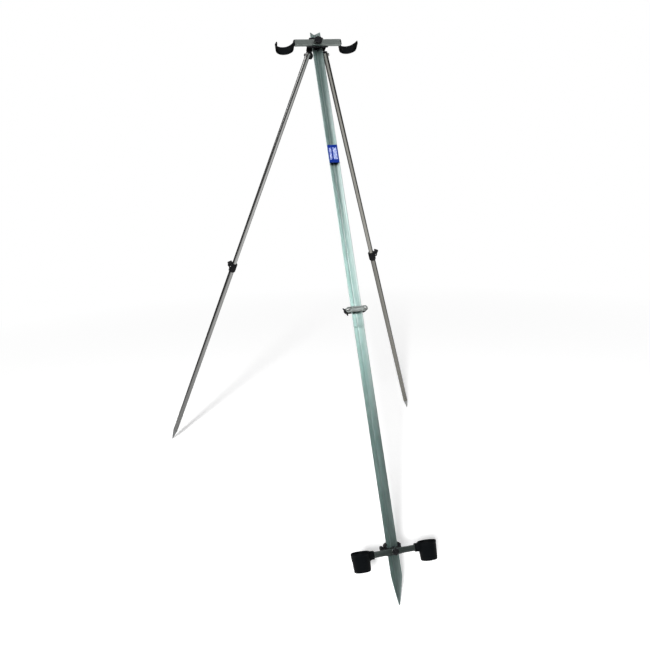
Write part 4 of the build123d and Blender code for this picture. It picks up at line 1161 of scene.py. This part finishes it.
# Radius and depth below the collar's top
COLLAR_PROFILE = (
    (8.6, 0.8),
    (9.4, 0.0),
    (12.2, 0.0),
    (13.3, 0.5),
    (13.8, 1.6),
    (13.8, 18.0),
    (13.2, 18.6),
    (13.2, 20.0),
    (13.8, 20.6),
    (13.8, 24.0),
    (13.2, 24.6),
    (13.2, 26.0),
    (13.8, 26.6),
    (13.8, 30.0),
    (13.5, 33.6),
    (12.8, 35.4),
    (11.6, 36.0),
    (10.6, 36.0),
    (10.1, 35.4),
    (10.1, 6.0),
    (8.6, 5.8),
)
# The cheeks' side outline: outward from the leg's middle, and down from the collar's top
CHEEK_OUTLINE = (
    (9.0, 0.3),
    (20.6, 0.3),
    (22.6, 2.0),
    (23.2, 5.0),
    (23.0, 10.0),
    (21.6, 14.6),
    (18.6, 17.6),
    (9.0, 19.6),
)
# The lever's side outline: outward, and up from its pin
LEVER_OUTLINE = (
    (-6.0, 0.0),
    (-5.2, -3.0),
    (-3.0, -5.2),
    (0.0, -6.0),
    (3.0, -5.2),
    (5.4, -2.6),
    (7.0, 1.2),
    (9.4, 5.8),
    (12.6, 11.0),
    (13.0, 12.8),
    (12.0, 14.2),
    (6.4, 18.2),
    (1.2, 21.6),
    (-0.8, 22.0),
    (-2.4, 21.4),
    (-3.0, 19.6),
    (-2.6, 12.0),
    (-3.4, 8.0),
    (-5.2, 4.0),
)
# Radius and distance along the lever's pin
PIN_PROFILE = ((1.3, -7.9), (1.9, -7.6), (2.0, -7.1), (2.0, 7.1), (1.9, 7.6), (1.3, 7.9))
# Radius and distance down from the top of a leg's plug
PLUG_PROFILE = (
    (4.0, 0.0),
    (7.6, 0.1),
    (8.3, 0.5),
    (8.5, 1.1),
    (7.25, 1.2),
    (7.25, 26.6),
    (6.7, 27.2),
    (5.6, 27.2),
    (5.4, 26.0),
    (5.4, 22.0),
)
# Radius and distance below the end of the lower tube, for the spike's grooved collar
SPIKE_PROFILE = ((9.6, 0.05), (10.0, 0.5), (9.9, 1.4), (9.4, 3.0), (9.1, 3.6), (9.1, 4.6), (9.2, 5.2))
SHANK_LENGTH = 24.0
LEVER_HALF_WIDTH = 4.0
# Outward and up from the lever's pin: its middle, the first grip ridge, and the way that the ridges run
LEVER_MIDDLE = (3.0, 8.0)
RIDGE_START = (11.4, 14.6)
RIDGE_WAY = (-10.4, 7.0)
RIDGE_COUNT = 5
RIDGE_SPACING = 2.4
RIDGE_HALF_LENGTH = 3.2
RIDGE_HALF_FOOT = 0.8
RIDGE_HEIGHT = 0.5
# Half the gap between the cheeks, half the width over them, and their middle in the outline's terms
CHEEK_INNER = 4.1
CHEEK_OUTER = 7.5
CHEEK_MIDDLE = (16.0, 9.0)


def slab(outline, low, high, middle):
    """Side outline in x and z, pulled along y with edges rounded towards its middle."""
    rings = []
    edge = ((0.0, 0.7), (0.25, 0.2), (0.8, 0.0))
    steps = [(low + inward, inset) for inward, inset in edge]
    steps += [(high - inward, inset) for inward, inset in reversed(edge)]
    for y, inset in steps:
        shrunk = grown([(x - middle[0], z - middle[1]) for x, z in outline], -inset)
        rings.append([(x + middle[0], y, z + middle[1]) for x, z in shrunk])
    return Shape().skin(rings)


def lever(name, place):
    """Cam lever with grip ridges on its thumb tab."""
    outline = [(LEVER_OUT + x, LEVER_DOWN - up) for x, up in LEVER_OUTLINE]
    middle = (LEVER_OUT + LEVER_MIDDLE[0], LEVER_DOWN - LEVER_MIDDLE[1])
    shape = slab(outline, -LEVER_HALF_WIDTH, LEVER_HALF_WIDTH, middle)
    first = Vector((LEVER_OUT + RIDGE_START[0], 0, LEVER_DOWN - RIDGE_START[1]))
    slope = Vector((RIDGE_WAY[0], 0, -RIDGE_WAY[1])).normalized()
    out = Vector((-slope.z, 0, slope.x))
    edge = slope * RIDGE_HALF_FOOT
    for k in range(RIDGE_COUNT):
        foot = first + slope * RIDGE_SPACING * k
        rings = []
        for y in (-RIDGE_HALF_LENGTH, RIDGE_HALF_LENGTH):
            corners = (foot - edge - out, foot + out * RIDGE_HEIGHT, foot + edge - out)
            rings.append([corner + UP * y for corner in corners])
        shape.skin(rings)
    node = f"lock_lever_{name}"
    piece(f"lock_lever_form_{name}", shape, place, node, "lever_moulding", (node,), crisp=40)


def collar(name, place):
    """Grooved collar with two cheeks for the lever's pin, and the pin."""
    body = f"side_leg_{name}_foot"
    node = (f"lock_collar_{name}",)
    profile = [(r, COLLAR_TOP + down) for r, down in COLLAR_PROFILE]
    shape = Shape().lathe(profile, sides=72, loop=True)
    outline = [(x, COLLAR_TOP + down) for x, down in CHEEK_OUTLINE]
    middle = (CHEEK_MIDDLE[0], COLLAR_TOP + CHEEK_MIDDLE[1])
    for side in (-1, 1):
        low, high = sorted((side * CHEEK_INNER, side * CHEEK_OUTER))
        shape.take(slab(outline, low, high, middle))
    piece(f"lock_collar_form_{name}", shape, place, body, "collar_moulding", node, crisp=40)
    lying = Matrix.Translation((LEVER_OUT, 0, LEVER_DOWN)) @ Matrix.Rotation(pi / 2, 4, "X")
    rod = Shape().lathe(PIN_PROFILE, sides=24).turn(lying)
    piece(f"lock_pin_form_{name}", rod, place, body, "zinc_steel", (f"lock_pin_{name}",))


def leg_length(name, place):
    """Distance in millimetres from the hinge down a side leg to the tip of its spike."""
    down = place.to_3x3().col[2].normalized()
    corners = [corner.co - place.translation for corner in NODES[f"foot_spike_{name}"].data.vertices]
    return max(corner.dot(down) for corner in corners) / MM


def side_leg(name):
    """Tubes, top plug, collar, lever and spike of one side leg."""
    place = side_leg_place(name)
    upper, lower = SIDE_TUBES[name]
    folding = f"side_leg_{name}"
    sliding = f"side_leg_{name}_foot"
    length = leg_length(name, place)
    foot_base = length - SPIKE_LENGTH
    tube = Shape().lathe(tube_profile(SIDE_UPPER_RADIUS, TUBE_TOP, UPPER_TUBE_END), sides=64, loop=True)
    node = (f"side_leg_upper_{name}",)
    piece(f"side_tube_upper_{name}", tube, place, folding, "side_upper_tube", node, material=upper)
    tube = Shape().lathe(tube_profile(SIDE_LOWER_RADIUS, LOWER_TUBE_TOP, foot_base), sides=64, loop=True)
    node = (f"side_leg_lower_{name}",)
    piece(f"side_tube_lower_{name}", tube, place, sliding, "side_lower_tube", node, material=lower)
    shape = Shape().lathe([(r, CAP_TOP + down) for r, down in PLUG_PROFILE], sides=56)
    piece(f"leg_cap_form_{name}", shape, place, folding, "cap_moulding", (f"leg_cap_{name}",), crisp=40)
    collar(name, place)
    lever(name, place)
    shank = SIDE_LOWER_RADIUS - TUBE_WALL - 0.05
    shank_top = foot_base - SHANK_LENGTH
    tip = [(shank - 0.55, shank_top), (shank, shank_top + 0.6), (shank, foot_base)]
    tip += [(r, foot_base + down) for r, down in SPIKE_PROFILE]
    tip += [(TIP_RADIUS, length - 0.8), (TIP_RADIUS * 0.6, length - 0.15), (TIP_RADIUS * 0.1, length)]
    shape = Shape().lathe(tip, sides=48)
    piece(f"foot_spike_form_{name}", shape, place, sliding, "spike_alloy", (f"foot_spike_{name}",), crisp=25)


for name in SIDES:
    side_leg(name)
